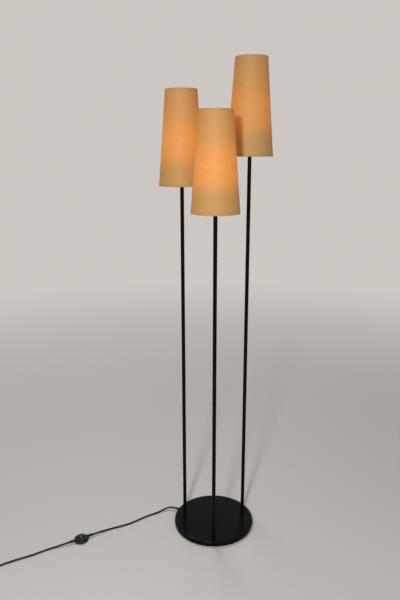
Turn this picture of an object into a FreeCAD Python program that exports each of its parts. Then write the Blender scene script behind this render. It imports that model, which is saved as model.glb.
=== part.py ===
"""Floor lamp with three straight stems of different heights on one round base.

Each stem carries a lampholder, a bulb and a tall tapered shade that turns on its holder. A foot switch sits
on the mains lead, whose unused length is wound into a coil beside the plug.

Frame: millimetres, +Z up, the origin at the centre of the base where it stands on the floor. The lamp faces
-Y, with the middle stem in front. Everything on a stem is drawn about that stem's axis, with z = 0 at the
bottom edge of its shade.
"""
import FreeCAD, Part
import math
import os
import re

import Sketcher
from FreeCAD import Placement, Rotation, Vector

UP = Vector(0, 0, 1)

doc = FreeCAD.newDocument("ThreeLightFloorLamp")


# ---------------------------------------------------------------------------------------------------------
# Driving dimensions
# ---------------------------------------------------------------------------------------------------------
SIZES = {
    # the base
    "base_radius": 145.0,
    "base_height": 18.5,
    "base_edge": 5.0,
    "cover_wall": 1.5,
    "corner_cut": 1.03,
    "rim_bottom": 1.0,
    "felt_radius": 139.0,
    "felt_top": 2.0,
    "plate_radius": 142.0,
    "plate_top": 4.0,
    "weight_radius": 139.5,
    "weight_bottom": 9.0,
    "window_radius": 36.0,
    "boss_circle": 100.0,
    "boss_angle": 90.0,
    "boss_radius": 7.0,
    "nut_pocket_radius": 9.5,
    "nut_pocket_top": 14.0,
    # the stems and what holds them
    "left_circle": 127.5,
    "middle_circle": 117.0,
    "right_circle": 127.5,
    "stem_radius": 6.5,
    "stem_bore": 5.5,
    "bush_length": 20.0,
    "nipple_radius": 4.95,
    "nipple_bore": 3.5,
    "nipple_bottom": 10.5,
    "thread_fit": 0.05,
    "left_angle": 150.0,
    "middle_angle": 270.0,
    "right_angle": 30.0,
    "left_height": 1231.5,
    "middle_height": 1160.5,
    "right_height": 1325.5,
    # the lampholder, measured up from the shade's bottom edge
    "stem_top": 41.0,
    "cap_top": 68.0,
    "skirt_radius": 20.0,
    "shoulder_radius": 24.0,
    "shoulder_top": 79.0,
    "holder_top": 96.0,
    "insert_radius": 17.5,
    "socket_radius": 13.9,
    # the bulb
    "bulb_radius": 30.0,
    "glass_wall": 1.2,
    "bulb_centre": 144.0,
    "bulb_cap_radius": 13.1,
    # the shade and its frame
    "shade_height": 300.0,
    "shade_bottom": 75.5,
    "shade_top": 51.5,
    "shade_wall": 0.8,
    "hem_wall": 0.5,
    "hem_height": 8.0,
    "hoop_wire": 3.0,
    "fitter_radius": 26.5,
    "fitter_wall": 1.8,
    "turning_fit": 0.05,
    "turning_gap": 0.1,
    # the lead, the foot switch and the plug
    "cord_width": 6.5,
    "lead_width": 4.4,
    "cord_angle": 156.0,
    "cord_exit": 10.5,
    "channel_width": 8.5,
    "bushing_length": 15.0,
    "clamp_at": 75.0,
    "clamp_screw_side": 9.0,
    "clamp_length": 8.0,
    "terminal_length": 24.0,
    "terminal_width": 18.0,
    "terminal_height": 12.0,
    "switch_radius": 26.0,
    "switch_height": 15.0,
    "button_radius": 10.0,
    "button_rise": 4.0,
    "neck_start": 23.5,
    "neck_reach": 36.0,
    "neck_axis": 8.0,
    "contact_length": 30.0,
    "contact_width": 16.0,
    "contact_height": 4.4,
    "plug_rear": 20.0,
    "plug_front": 57.0,
    "plug_thickness": 13.6,
    "pin_radius": 2.0,
    "pin_length": 19.0,
    "pin_spacing": 18.6,
    "plug_axis": 7.0,
}

SIDES = ("left", "middle", "right")

dim = doc.addObject("Spreadsheet::Sheet", "dim")
for row, (alias, number) in enumerate(SIZES.items(), start=1):
    dim.set("A%d" % row, alias)
    dim.set("B%d" % row, "%.3f" % number)
    dim.setAlias("B%d" % row, alias)
doc.recompute()


def bound(text):
    """The expression text with the sheet's name in front of each of its cells."""
    return re.sub(r"[a-z_]+", lambda word: ("dim." if word.group() in SIZES else "") + word.group(), text)


def size(text):
    """The present value of an expression of the sheet's cells."""
    return float(dim.evalExpression(bound(text)))


# ---------------------------------------------------------------------------------------------------------
# Ways of making a piece
# ---------------------------------------------------------------------------------------------------------
def new_body(label):
    body = doc.addObject("PartDesign::Body", label)
    body.Label = label
    return body


def origin_feature(body, role):
    return next(feature for feature in body.Origin.OriginFeatures if feature.Role == role)


def new_sketch(body, name, role="XZ_Plane"):
    sketch = body.newObject("Sketcher::SketchObject", name)
    sketch.AttachmentSupport = [(origin_feature(body, role), "")]
    sketch.MapMode = "FlatFace"
    return sketch


def bind(sketch, constraint, text):
    """Add a constraint whose value follows the expression text."""
    number = sketch.addConstraint(constraint)
    sketch.setExpression("Constraints[%d]" % number, bound(text))


def arc_between(start, end, radius, side):
    """The arc from start to end; side 1 bulges to the left of the way there and -1 to the right."""
    chord = end - start
    half = chord.Length / 2
    left = Vector(-chord.y, chord.x, 0).normalize()
    centre = (start + end) * 0.5 - left * (side * math.sqrt(max(radius * radius - half * half, 0)))
    first, last = (end, start) if side > 0 else (start, end)
    angles = [math.atan2(point.y - centre.y, point.x - centre.x) for point in (first, last)]
    return Part.ArcOfCircle(Part.Circle(centre, UP, radius), *angles)


def closed_outline(sketch, corners):
    """Draw a closed outline through corners, each (across, up) in expressions.

    A corner with two more entries, a radius and a side, starts an arc instead of a line.
    """
    spots = [Vector(size(corner[0]), size(corner[1]), 0) for corner in corners]
    ends = []
    for number, corner in enumerate(corners):
        start, end = spots[number], spots[(number + 1) % len(corners)]
        if len(corner) == 2:
            sketch.addGeometry(Part.LineSegment(start, end), False)
            ends.append((1, 2))
            continue
        sketch.addGeometry(arc_between(start, end, size(corner[2]), corner[3]), False)
        ends.append((2, 1) if corner[3] > 0 else (1, 2))
    for number, corner in enumerate(corners):
        following = (number + 1) % len(corners)
        sketch.addConstraint(
            Sketcher.Constraint("Coincident", number, ends[number][1], following, ends[following][0]))
        for kind, axis, text, place in (("DistanceX", -2, corner[0], spots[number].x),
                                        ("DistanceY", -1, corner[1], spots[number].y)):
            if abs(place) < 1e-9:
                sketch.addConstraint(Sketcher.Constraint("PointOnObject", number, ends[number][0], axis))
            else:
                bind(sketch, Sketcher.Constraint(kind, -1, 1, number, ends[number][0], place), text)
        if len(corner) > 2:
            bind(sketch, Sketcher.Constraint("Radius", number, size(corner[2])), corner[2])


def revolve(body, name, corners, across="0", back="0"):
    """Turn an outline about the upright axis that stands this far across and back in the body's frame."""
    sketch = new_sketch(body, name + "_outline")
    sketch.AttachmentOffset = Placement(Vector(size(across), 0, -size(back)), Rotation())
    sketch.setExpression("AttachmentOffset.Base.x", bound(across))
    sketch.setExpression("AttachmentOffset.Base.z", bound("-1 * (%s)" % back))
    closed_outline(sketch, corners)
    turned = body.newObject("PartDesign::Revolution", name)
    turned.Profile = sketch
    turned.ReferenceAxis = (sketch, ["V_Axis"])
    turned.Angle = 360
    doc.recompute()
    return turned


def pocket(body, name, draw, top, depth):
    """Cut what draw() puts in a level sketch, from the height top down by depth."""
    sketch = new_sketch(body, name + "_outline", "XY_Plane")
    sketch.AttachmentOffset = Placement(Vector(0, 0, size(top)), Rotation())
    sketch.setExpression("AttachmentOffset.Base.z", bound(top))
    draw(sketch)
    before = body.Shape.Volume
    cut = body.newObject("PartDesign::Pocket", name)
    cut.Profile = sketch
    cut.Length = size(depth)
    cut.setExpression("Length", bound(depth))
    doc.recompute()
    assert cut.Shape.Volume < before - 1e-3, name + " cuts nothing"
    return cut


def circle_at(across, radius):
    """A drawing of one circle on the body's X axis."""
    def draw(sketch):
        sketch.addGeometry(Part.Circle(Vector(size(across), 0, 0), UP, size(radius)), False)
        sketch.addConstraint(Sketcher.Constraint("PointOnObject", 0, 3, -1))
        bind(sketch, Sketcher.Constraint("DistanceX", -1, 1, 0, 3, size(across)), across)
        bind(sketch, Sketcher.Constraint("Radius", 0, size(radius)), radius)
    return draw


def stem_spot(side, turn="0"):
    """The place of a stem's axis across and back, in a frame that is turned about the base's axis."""
    spot = "%s_circle * %s(%s_angle - (%s))"
    return spot % (side, "cos", side, turn), spot % (side, "sin", side, turn)


def circles_at_stems(radius, turn="0"):
    """A drawing of one circle at each stem."""
    def draw(sketch):
        for number, side in enumerate(SIDES):
            across, back = stem_spot(side, turn)
            centre = Vector(size(across), size(back), 0)
            sketch.addGeometry(Part.Circle(centre, UP, size(radius)), False)
            for kind, axis, text, place in (("DistanceX", -2, across, centre.x),
                                            ("DistanceY", -1, back, centre.y)):
                if abs(place) < 1e-9:
                    sketch.addConstraint(Sketcher.Constraint("PointOnObject", number, 3, axis))
                else:
                    bind(sketch, Sketcher.Constraint(kind, -1, 1, number, 3, place), text)
            bind(sketch, Sketcher.Constraint("Radius", number, size(radius)), radius)
    return draw


def around(body, name, feature, count=3):
    """Repeat a feature about the body's upright axis."""
    pattern = body.newObject("PartDesign::PolarPattern", name)
    pattern.Originals = [feature]
    pattern.Axis = (origin_feature(body, "Z_Axis"), [""])
    pattern.Angle = 360
    pattern.Occurrences = count
    body.Tip = pattern
    doc.recompute()
    return pattern


def round_edges(body, name, radius, heights_and_radii):
    """Fillet the level circular edges of the body that have these heights and radii."""
    edges = []
    for number, edge in enumerate(body.Shape.Edges, start=1):
        if not isinstance(edge.Curve, Part.Circle):
            continue
        for height, ring in heights_and_radii:
            if abs(edge.Curve.Center.z - size(height)) < 1e-4 and abs(edge.Curve.Radius - size(ring)) < 1e-4:
                edges.append("Edge%d" % number)
    solid = body.Tip
    fillet = body.newObject("PartDesign::Fillet", name)
    fillet.Base = (solid, edges)
    fillet.Radius = size(radius)
    fillet.setExpression("Radius", bound(radius))
    body.Tip = fillet
    doc.recompute()
    return fillet


def turned_piece(label, corners, across="0"):
    body = new_body(label)
    revolve(body, label + "_turned", corners, across)
    return body


def primitive(kind, label, sizes, place=Vector(), rotation=Rotation()):
    """A Part primitive whose sizes follow expressions of the sheet."""
    shape = doc.addObject("Part::" + kind, label)
    for name, text in sizes.items():
        setattr(shape, name, size(text))
        shape.setExpression(name, bound(text))
    shape.Placement = Placement(place, rotation)
    return shape


def fused(label, pieces):
    whole = doc.addObject("Part::MultiFuse", label)
    whole.Shapes = pieces
    whole.Label = label
    doc.recompute()
    return whole


def cut_from(label, piece, tools):
    result = doc.addObject("Part::Cut", label)
    result.Base = piece
    result.Tool = tools[0] if len(tools) == 1 else fused(label + "_tools", tools)
    result.Label = label
    doc.recompute()
    assert result.Shape.Volume < piece.Shape.Volume - 1e-3, label + " is not cut"
    return result


def shaped(label, shape):
    """A piece whose form is worked out from the sheet's sizes with curves and sweeps."""
    feature = doc.addObject("Part::Feature", label)
    feature.Label = label
    feature.Shape = shape
    return feature


def stand_on(piece, side, height):
    """Put a piece that is drawn about a stem's axis in its place."""
    across, back = stem_spot(side)
    piece.setExpression("Placement.Base.x", bound(across))
    piece.setExpression("Placement.Base.y", bound(back))
    piece.setExpression("Placement.Base.z", bound(height))
    piece.setExpression("Placement.Rotation.Angle", bound(side + "_angle"))
    return piece


def heading(angle):
    """The level direction at an angle from +X."""
    return Vector(math.cos(math.radians(angle)), math.sin(math.radians(angle)), 0)


def beside(place, turn=0.0):
    """A placement on the floor, turned about the upright."""
    return Placement(place, Rotation(UP, turn))


# ---------------------------------------------------------------------------------------------------------
# Tubes along a route
# ---------------------------------------------------------------------------------------------------------
BEND_SHARE = 0.45


def smooth_path(points):
    """Straight runs joined by tangent arcs, each as large as its two runs allow."""
    edges = []
    radii = []
    start = points[0]
    for before, corner, after in zip(points, points[1:], points[2:]):
        way_in = (corner - before).normalize()
        way_out = (after - corner).normalize()
        reach = BEND_SHARE * min((corner - before).Length, (after - corner).Length)
        radius = reach / math.tan(way_in.getAngle(way_out) / 2)
        first = corner - way_in * reach
        last = corner + way_out * reach
        inwards = (way_out - way_in).normalize()
        middle = corner + inwards * (math.hypot(reach, radius) - radius)
        edges.append(Part.LineSegment(start, first).toShape())
        edges.append(Part.Arc(first, middle, last).toShape())
        radii.append(radius)
        start = last
    edges.append(Part.LineSegment(start, points[-1]).toShape())
    return Part.Wire(edges), radii


def ring_of_sides(centre, along, width, sides):
    """A closed outline with its corners on a circle of this width, square to the direction along."""
    level = UP.cross(along).normalize()
    upright = along.cross(level)
    corners = []
    for number in range(sides + 1):
        angle = 2 * math.pi * (number + 0.5) / sides
        corners.append(centre + (level * math.cos(angle) + upright * math.sin(angle)) * (width / 2))
    return Part.makePolygon(corners)


def sweep(label, path, start, along, width, sides):
    """One solid along a path, its volume compared with its section times its length."""
    outline = ring_of_sides(start, along, width, sides)
    solid = path.makePipeShell([outline], True, False)
    section = Part.Face(outline).Area
    print("%s: length %.0f, volume %.4f of its section times its length"
          % (label, path.Length, solid.Volume / (section * path.Length)))
    return shaped(label, solid)


def tube(label, points, width, sides):
    path, radii = smooth_path(points)
    if radii:
        print("%s: bends of %s mm radius" % (label, ", ".join("%.0f" % radius for radius in radii)))
    return sweep(label, path, points[0], (points[1] - points[0]).normalize(), width, sides)


def arc_from(start, end, along):
    """The arc that leaves start in the direction along and ends at end."""
    chord = end - start
    way = Vector(chord).normalize()
    across = along - way * along.dot(way)
    if across.Length < 1e-7:
        return Part.LineSegment(start, end).toShape()
    half_turn = math.acos(max(-1.0, min(1.0, along.dot(way))))
    middle = start + chord * 0.5 + across.normalize() * (chord.Length / 2 * math.tan(half_turn / 2))
    return Part.Arc(start, middle, end).toShape()


def two_arcs(start, start_way, end, end_way):
    """Two arcs that join two points and run along the given directions there."""
    span = end - start
    both = start_way + end_way
    spread = 2 * (1 - start_way.dot(end_way))
    reach = (-span.dot(both) + math.sqrt(span.dot(both) ** 2 + spread * span.dot(span))) / spread
    joint = (start + end + (start_way - end_way) * reach) * 0.5
    way = (joint - start).normalize()
    joint_way = way * (2 * start_way.dot(way)) - start_way
    return [arc_from(start, joint, start_way), arc_from(joint, end, joint_way)]


# ---------------------------------------------------------------------------------------------------------
# The base: a spun steel cover over a cast iron weight, closed by a plate with felt under it
# ---------------------------------------------------------------------------------------------------------
def make_base_cover():
    shell = turned_piece("base_cover_shell", [
        ("0", "base_height - cover_wall"),
        ("base_radius - base_edge", "base_height - cover_wall"),
        ("base_radius - cover_wall - corner_cut", "base_height - cover_wall - corner_cut"),
        ("base_radius - cover_wall", "base_height - base_edge"),
        ("base_radius - cover_wall", "rim_bottom"),
        ("base_radius", "rim_bottom"),
        ("base_radius", "base_height"),
        ("0", "base_height"),
    ])
    round_edges(shell, "cover_outer_edge", "base_edge", [("base_height", "base_radius")])
    stem_holes = circles_at_stems("nipple_radius + 0.25")
    pocket(shell, "cover_stem_holes", stem_holes, "base_height", "cover_wall + 1")
    bore = primitive("Cylinder", "cover_cord_hole", {"Radius": "cord_width / 2 + 1.5", "Height": "30"})
    bore.Placement = cord_placement("base_radius - 15")
    return cut_from("base_cover", shell, [bore])


def cord_placement(along):
    """A frame on the cord's line through the rim, its Z pointing out of the base."""
    place = on_cord_line(size(along), 0, size("cord_exit"))
    return Placement(place, Rotation(UP, heading(size("cord_angle"))))


def on_cord_line(along, across, height):
    """A point on the way out of the base, moved across that way and up."""
    out = heading(size("cord_angle"))
    return out * along + UP.cross(out) * across + UP * height


def make_base_weight():
    weight = new_body("base_weight_casting")
    revolve(weight, "weight_disc", [
        ("window_radius", "weight_bottom"),
        ("weight_radius", "weight_bottom"),
        ("weight_radius", "base_height - cover_wall"),
        ("window_radius", "base_height - cover_wall"),
    ])
    boss = revolve(weight, "weight_boss", [
        ("0", "plate_top"),
        ("boss_radius", "plate_top"),
        ("boss_radius + 1", "weight_bottom + 1"),
        ("0", "weight_bottom + 1"),
    ], across="boss_circle")
    around(weight, "weight_bosses", boss)
    for name, radius, top, depth in (("nut_pockets", "nut_pocket_radius", "nut_pocket_top", "10"),
                                     ("nipple_holes", "nipple_radius + 0.25", "base_height", "20")):
        pocket(weight, name, circles_at_stems(radius, "boss_angle"), top, depth)
    screw_hole = pocket(weight, "screw_hole", circle_at("boss_circle", "1.6"), "plate_top + 8", "8")
    around(weight, "screw_holes", screw_hole)
    weight.setExpression("Placement.Rotation.Angle", bound("boss_angle"))
    channel = primitive("Box", "cord_channel", {"Length": "120", "Width": "channel_width",
                                                "Height": "cord_exit - channel_width / 2"})
    width = size("channel_width")
    channel_corner = on_cord_line(size("window_radius") - 10, -width / 2, width)
    channel.Placement = beside(channel_corner, size("cord_angle"))
    tapped = []
    for side in (-1, 1):
        screw_bore = primitive("Cylinder", "clamp_screw_bore", {"Radius": "1.6", "Height": "6"})
        screw_bore.Placement = clamp_placement(side, size("weight_bottom") - 1)
        tapped.append(screw_bore)
    return cut_from("base_weight", weight, [channel] + tapped)


def clamp_placement(side, height):
    """The place of one of the cord clamp's two screws."""
    return beside(on_cord_line(size("clamp_at"), side * size("clamp_screw_side"), height))


def make_base_underside():
    plate = turned_piece("base_plate", [
        ("0", "felt_top"),
        ("plate_radius", "felt_top"),
        ("plate_radius", "plate_top"),
        ("0", "plate_top"),
    ])
    sink = plate.newObject("PartDesign::Groove", "screw_sink")
    sink.Profile = new_sketch(plate, "screw_sink_outline")
    sink.Profile[0].AttachmentOffset = Placement(Vector(size("boss_circle"), 0, 0), Rotation())
    sink.Profile[0].setExpression("AttachmentOffset.Base.x", bound("boss_circle"))
    closed_outline(sink.Profile[0], [
        ("0", "felt_top - 1"),
        ("3.6", "felt_top - 1"),
        ("1.65", "plate_top - 0.4"),
        ("1.65", "plate_top + 1"),
        ("0", "plate_top + 1"),
    ])
    sink.ReferenceAxis = (sink.Profile[0], ["V_Axis"])
    sink.Angle = 360
    doc.recompute()
    around(plate, "screw_sinks", sink)
    plate.setExpression("Placement.Rotation.Angle", bound("boss_angle"))

    felt = turned_piece("felt_pad", [("0", "0"), ("felt_radius", "0"), ("felt_radius", "felt_top"),
                                     ("0", "felt_top")])

    screws = new_body("plate_screws")
    screw = revolve(screws, "plate_screw", [
        ("0", "felt_top + 0.1"),
        ("2.5", "felt_top + 0.1"),
        ("1.5", "plate_top - 0.4"),
        ("1.5", "plate_top + 7.5"),
        ("0", "plate_top + 7.5"),
    ], across="boss_circle")
    around(screws, "plate_screw_ring", screw)
    screws.setExpression("Placement.Rotation.Angle", bound("boss_angle"))
    return [plate, felt, screws]


def make_cord_entry():
    """The bushing in the rim, the lead inside the base, its clamp and the terminal block."""
    bushing = turned_piece("cord_bushing", [
        ("cord_width / 2 + 0.05", "-5"),
        ("cord_width / 2 + 2", "-5"),
        ("cord_width / 2 + 2", "-2.7"),
        ("cord_width / 2 + 1.4", "-2.7"),
        ("cord_width / 2 + 1.4", "0.1"),
        ("cord_width / 2 + 3", "0.1"),
        ("cord_width / 2 + 2.6", "3"),
        ("cord_width / 2 + 0.9", "bushing_length"),
        ("cord_width / 2 + 0.05", "bushing_length"),
    ])
    bushing.Placement = cord_placement("base_radius")

    inner_end = cord_placement("window_radius - 3").Base
    outer_end = cord_placement("base_radius + bushing_length").Base
    inner = tube("cord_in_base", [inner_end, outer_end], size("cord_width"), 12)

    clamp_body = new_body("cord_clamp")
    clamp_pad = clamp_body.newObject("PartDesign::Pad", "clamp_pad")
    clamp_pad.Profile = new_sketch(clamp_body, "clamp_outline")
    closed_outline(clamp_pad.Profile[0], [
        ("-13", "-4.3"), ("-4.2", "-4.3"), ("-3.4", "-4.9"), ("3.4", "-4.9"), ("4.2", "-4.3"), ("13", "-4.3"),
        ("13", "-2.1"), ("3.4", "-2.1"), ("2.4", "-3.3"), ("-2.4", "-3.3"), ("-3.4", "-2.1"), ("-13", "-2.1"),
    ])
    clamp_pad.Length = size("clamp_length")
    clamp_pad.setExpression("Length", bound("clamp_length"))
    clamp_pad.Midplane = True
    doc.recompute()
    clamp_body.Placement = beside(cord_placement("clamp_at").Base, size("cord_angle") + 90)
    bores = []
    screws = []
    for side in (-1, 1):
        bore = primitive("Cylinder", "clamp_bore", {"Radius": "1.6", "Height": "10"})
        bore.Placement = clamp_placement(side, size("plate_top"))
        bores.append(bore)
        shank = Part.makeCylinder(1.5, 7.5).fuse(Part.makeCylinder(2.8, 1.4, Vector(0, 0, -1.4)))
        shank.Placement = clamp_placement(side, size("cord_exit") - 4.35)
        screws.append(shank)
    clamp_body.Label = "cord_clamp_blank"
    clamp = cut_from("cord_clamp", clamp_body, bores)
    clamp_screws = shaped("clamp_screws", Part.makeCompound(screws))

    length, width, height = (size("terminal_" + name) for name in ("length", "width", "height"))
    block = primitive("Box", "terminal_block_blank", {"Length": "terminal_length", "Width": "terminal_width",
                                                      "Height": "terminal_height"})
    block.Placement = beside(on_cord_line(8, -width / 2, size("plate_top") + 0.1), size("cord_angle"))
    screw_wells = []
    for number in range(3):
        well = primitive("Cylinder", "terminal_well", {"Radius": "2", "Height": "5"})
        in_block = Vector(length / 2, (number + 0.5) * width / 3, height - 3)
        well.Placement = block.Placement.multiply(beside(in_block))
        screw_wells.append(well)
    terminal = cut_from("terminal_block", block, screw_wells)
    return [bushing, inner, clamp, clamp_screws, terminal]


def make_stem_fixings():
    """The threaded nipples with their nuts and washers, three of each."""
    pieces = []
    outlines = {
        "foot_nipples": [
            ("nipple_bore", "nipple_bottom"),
            ("nipple_radius", "nipple_bottom"),
            ("nipple_radius", "base_height + bush_length - 4"),
            ("nipple_bore", "base_height + bush_length - 4"),
        ],
        "foot_washers": [
            ("nipple_radius + 0.2", "nut_pocket_top - 1.2"),
            ("nut_pocket_radius - 1", "nut_pocket_top - 1.2"),
            ("nut_pocket_radius - 1", "nut_pocket_top"),
            ("nipple_radius + 0.2", "nut_pocket_top"),
        ],
    }
    for label, corners in outlines.items():
        body = new_body(label)
        for side in SIDES:
            revolve(body, side + "_" + label, corners, *stem_spot(side))
        pieces.append(body)

    nuts = new_body("foot_nuts")
    for side in SIDES:
        add_nut(nuts, side)
    pieces.append(nuts)
    return pieces


def add_nut(nuts, side):
    """One hexagonal nut under a stem."""
    sketch = new_sketch(nuts, side + "_nut_outline", "XY_Plane")
    across, back = stem_spot(side)
    sketch.AttachmentOffset = Placement(Vector(size(across), size(back), size("nipple_bottom")), Rotation())
    for axis, text in (("x", across), ("y", back), ("z", "nipple_bottom")):
        sketch.setExpression("AttachmentOffset.Base." + axis, bound(text))
    corner = size("nut_pocket_radius - 1.5")
    hexagon = [heading(60 * number) * corner for number in range(6)]
    for number in range(6):
        sketch.addGeometry(Part.LineSegment(hexagon[number], hexagon[(number + 1) % 6]), False)
    for number in range(6):
        sketch.addConstraint(Sketcher.Constraint("Coincident", number, 2, (number + 1) % 6, 1))
    bore = "nipple_radius + thread_fit"
    sketch.addGeometry(Part.Circle(Vector(), UP, size(bore)), False)
    bind(sketch, Sketcher.Constraint("Radius", 6, size(bore)), bore)
    nut = nuts.newObject("PartDesign::Pad", side + "_foot_nut")
    nut.Profile = sketch
    tall = "nut_pocket_top - 1.2 - nipple_bottom"
    nut.Length = size(tall)
    nut.setExpression("Length", bound(tall))
    doc.recompute()


# ---------------------------------------------------------------------------------------------------------
# One light: stem, lampholder, bulb and shade
# ---------------------------------------------------------------------------------------------------------
def make_stem(side, height):
    """A tube with a tapped bush in each end."""
    length = "%s + stem_top - base_height" % height
    stem = turned_piece(side + "_stem", [
        ("nipple_radius + thread_fit", "0"),
        ("stem_radius", "0"),
        ("stem_radius", length),
        ("nipple_radius + thread_fit", length),
        ("nipple_radius + thread_fit", length + " - bush_length"),
        ("stem_bore", length + " - bush_length"),
        ("stem_bore", "bush_length"),
        ("nipple_radius + thread_fit", "bush_length"),
    ])
    return stand_on(stem, side, "base_height")


def make_top_nipple(side, height):
    nipple = turned_piece(side + "_top_nipple", [
        ("nipple_bore", "stem_top - 14"),
        ("nipple_radius", "stem_top - 14"),
        ("nipple_radius", "stem_top + 8"),
        ("nipple_bore", "stem_top + 8"),
    ])
    return stand_on(nipple, side, height)


def make_holder(side, height):
    """The lampholder: a domed cap, a threaded skirt with a shoulder, the insert, and the ring nut."""
    cap = turned_piece(side + "_holder_cap", [
        ("nipple_radius + thread_fit", "stem_top"),
        ("8.5", "stem_top"),
        ("8.5", "stem_top + 7"),
        ("14.5", "stem_top + 10.5"),
        ("18.3", "stem_top + 16"),
        ("19.5", "cap_top"),
        ("17.6", "cap_top"),
        ("16.4", "stem_top + 17"),
        ("13", "stem_top + 12"),
        ("9", "stem_top + 10"),
        ("nipple_radius + thread_fit", "stem_top + 10"),
    ])
    skirt = turned_piece(side + "_holder_skirt", [
        ("insert_radius + 0.1", "cap_top"),
        ("skirt_radius", "cap_top"),
        ("skirt_radius", "shoulder_top - 3"),
        ("shoulder_radius", "shoulder_top - 2.4"),
        ("shoulder_radius", "shoulder_top"),
        ("skirt_radius", "shoulder_top"),
        ("skirt_radius", "holder_top - 1"),
        ("skirt_radius - 1", "holder_top"),
        ("insert_radius + 0.1", "holder_top"),
    ])
    insert = turned_piece(side + "_holder_insert", [
        ("0", "cap_top + 0.5"),
        ("insert_radius", "cap_top + 0.5"),
        ("insert_radius", "holder_top - 2"),
        ("socket_radius", "holder_top - 2"),
        ("socket_radius", "cap_top + 4"),
        ("3", "cap_top + 4"),
        ("2", "cap_top + 5"),
        ("0", "cap_top + 5"),
    ])
    nut = turned_piece(side + "_holder_ring", [
        ("skirt_radius + thread_fit", "shoulder_top + fitter_wall + 2 * turning_gap"),
        ("28", "shoulder_top + fitter_wall + 2 * turning_gap"),
        ("28", "shoulder_top + fitter_wall + 3"),
        ("23", "shoulder_top + fitter_wall + 4"),
        ("22.5", "shoulder_top + fitter_wall + 10"),
        ("skirt_radius + thread_fit", "shoulder_top + fitter_wall + 10"),
    ])
    return [stand_on(piece, side, height) for piece in (cap, skirt, insert, nut)]


def make_bulb(side, height):
    """The glass is a thin bulb on a neck; the screw cap closes it below."""
    glass = turned_piece(side + "_bulb", [
        ("12.4", "holder_top - 3"),
        ("12.4", "holder_top + 3"),
        ("16", "holder_top + 14"),
        ("bulb_radius - 5.5", "bulb_centre - 17"),
        ("bulb_radius - 1", "bulb_centre - 7.7"),
        ("bulb_radius", "bulb_centre"),
        ("bulb_radius - 1.5", "bulb_centre + 9.3"),
        ("bulb_radius - 6", "bulb_centre + 18"),
        ("15", "bulb_centre + bulb_radius - 4"),
        ("5", "bulb_centre + bulb_radius - 0.4"),
        ("0", "bulb_centre + bulb_radius"),
        ("0", "bulb_centre + bulb_radius - glass_wall"),
        ("14.4", "bulb_centre + bulb_radius - 5"),
        ("bulb_radius - 7", "bulb_centre + 17.3"),
        ("bulb_radius - glass_wall", "bulb_centre"),
        ("bulb_radius - 6.7", "bulb_centre - 16.5"),
        ("14.8", "holder_top + 14.2"),
        ("11.2", "holder_top + 3"),
        ("11.2", "holder_top - 3"),
    ])
    cap = turned_piece(side + "_bulb_cap", [
        ("0", "cap_top + 5.1"),
        ("4", "cap_top + 5.1"),
        ("5", "cap_top + 6.5"),
        ("bulb_cap_radius - 2", "cap_top + 9"),
        ("bulb_cap_radius", "cap_top + 11"),
        ("bulb_cap_radius", "holder_top + 1.5"),
        ("12.45", "holder_top + 1.5"),
        ("12.45", "holder_top - 3.1"),
        ("0", "holder_top - 3.1"),
    ])
    return [stand_on(piece, side, height) for piece in (glass, cap)]


def shade_inside(height):
    """The shade's inner radius at a height, as an expression."""
    return "(shade_bottom - shade_wall - (shade_bottom - shade_top) * (%s) / shade_height)" % height


def make_shade(side, height):
    """The tapered shade with a doubled hem at both edges, its two wire hoops and its fitter."""
    skin = turned_piece(side + "_shade", [
        ("shade_bottom", "0"),
        ("shade_top", "shade_height"),
        (shade_inside("shade_height") + " - hem_wall", "shade_height"),
        (shade_inside("shade_height - hem_height") + " - hem_wall", "shade_height - hem_height"),
        (shade_inside("shade_height - hem_height"), "shade_height - hem_height"),
        (shade_inside("hem_height"), "hem_height"),
        (shade_inside("hem_height") + " - hem_wall", "hem_height"),
        (shade_inside("0") + " - hem_wall", "0"),
    ])
    hoops = new_body(side + "_shade_hoops")
    for name, low in (("bottom_hoop", "1"), ("top_hoop", "shade_height - 4")):
        inner = shade_inside(low + " + hoop_wire") + " - hem_wall - 0.1 - hoop_wire"
        revolve(hoops, side + "_" + name, [
            (inner, low),
            (inner + " + hoop_wire", low),
            (inner + " + hoop_wire", low + " + hoop_wire"),
            (inner, low + " + hoop_wire"),
        ])
    fitter = make_fitter(side)
    return [stand_on(piece, side, height) for piece in (skin, hoops, fitter)]


FITTER_ARMS = (30, 150, 270)


def make_fitter(side):
    """A flat ring that turns on the skirt, with three wires down to the bottom hoop."""
    low = size("shoulder_top + turning_gap")
    ring = Part.makeCylinder(size("fitter_radius"), size("fitter_wall"), Vector(0, 0, low))
    bore = Part.makeCylinder(size("skirt_radius + turning_fit"), size("fitter_wall"), Vector(0, 0, low))
    width = size("hoop_wire")
    middle = low + size("fitter_wall - hoop_wire / 2")
    reach = size(shade_inside("4") + " - hem_wall - 0.2 - 1.5 * hoop_wire")
    wires = []
    for turn in FITTER_ARMS:
        out = heading(turn)
        points = [out * 24.5 + UP * middle, out * 33 + UP * middle, out * (reach - 4) + UP * 6.5,
                  out * reach + UP * 2.5]
        path = smooth_path(points)[0]
        outline = ring_of_sides(points[0], out, width, 8)
        wires.append(path.makePipeShell([outline], True, False))
    solid = ring.fuse(wires).cut(bore).removeSplitter()
    return shaped(side + "_fitter", solid)


LEAD_START_ANGLES = {"left": 125.0}
LEAD_START = 38.0
LEAD_LEVEL = 6.35
LEAD_BEND = 6.0


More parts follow.
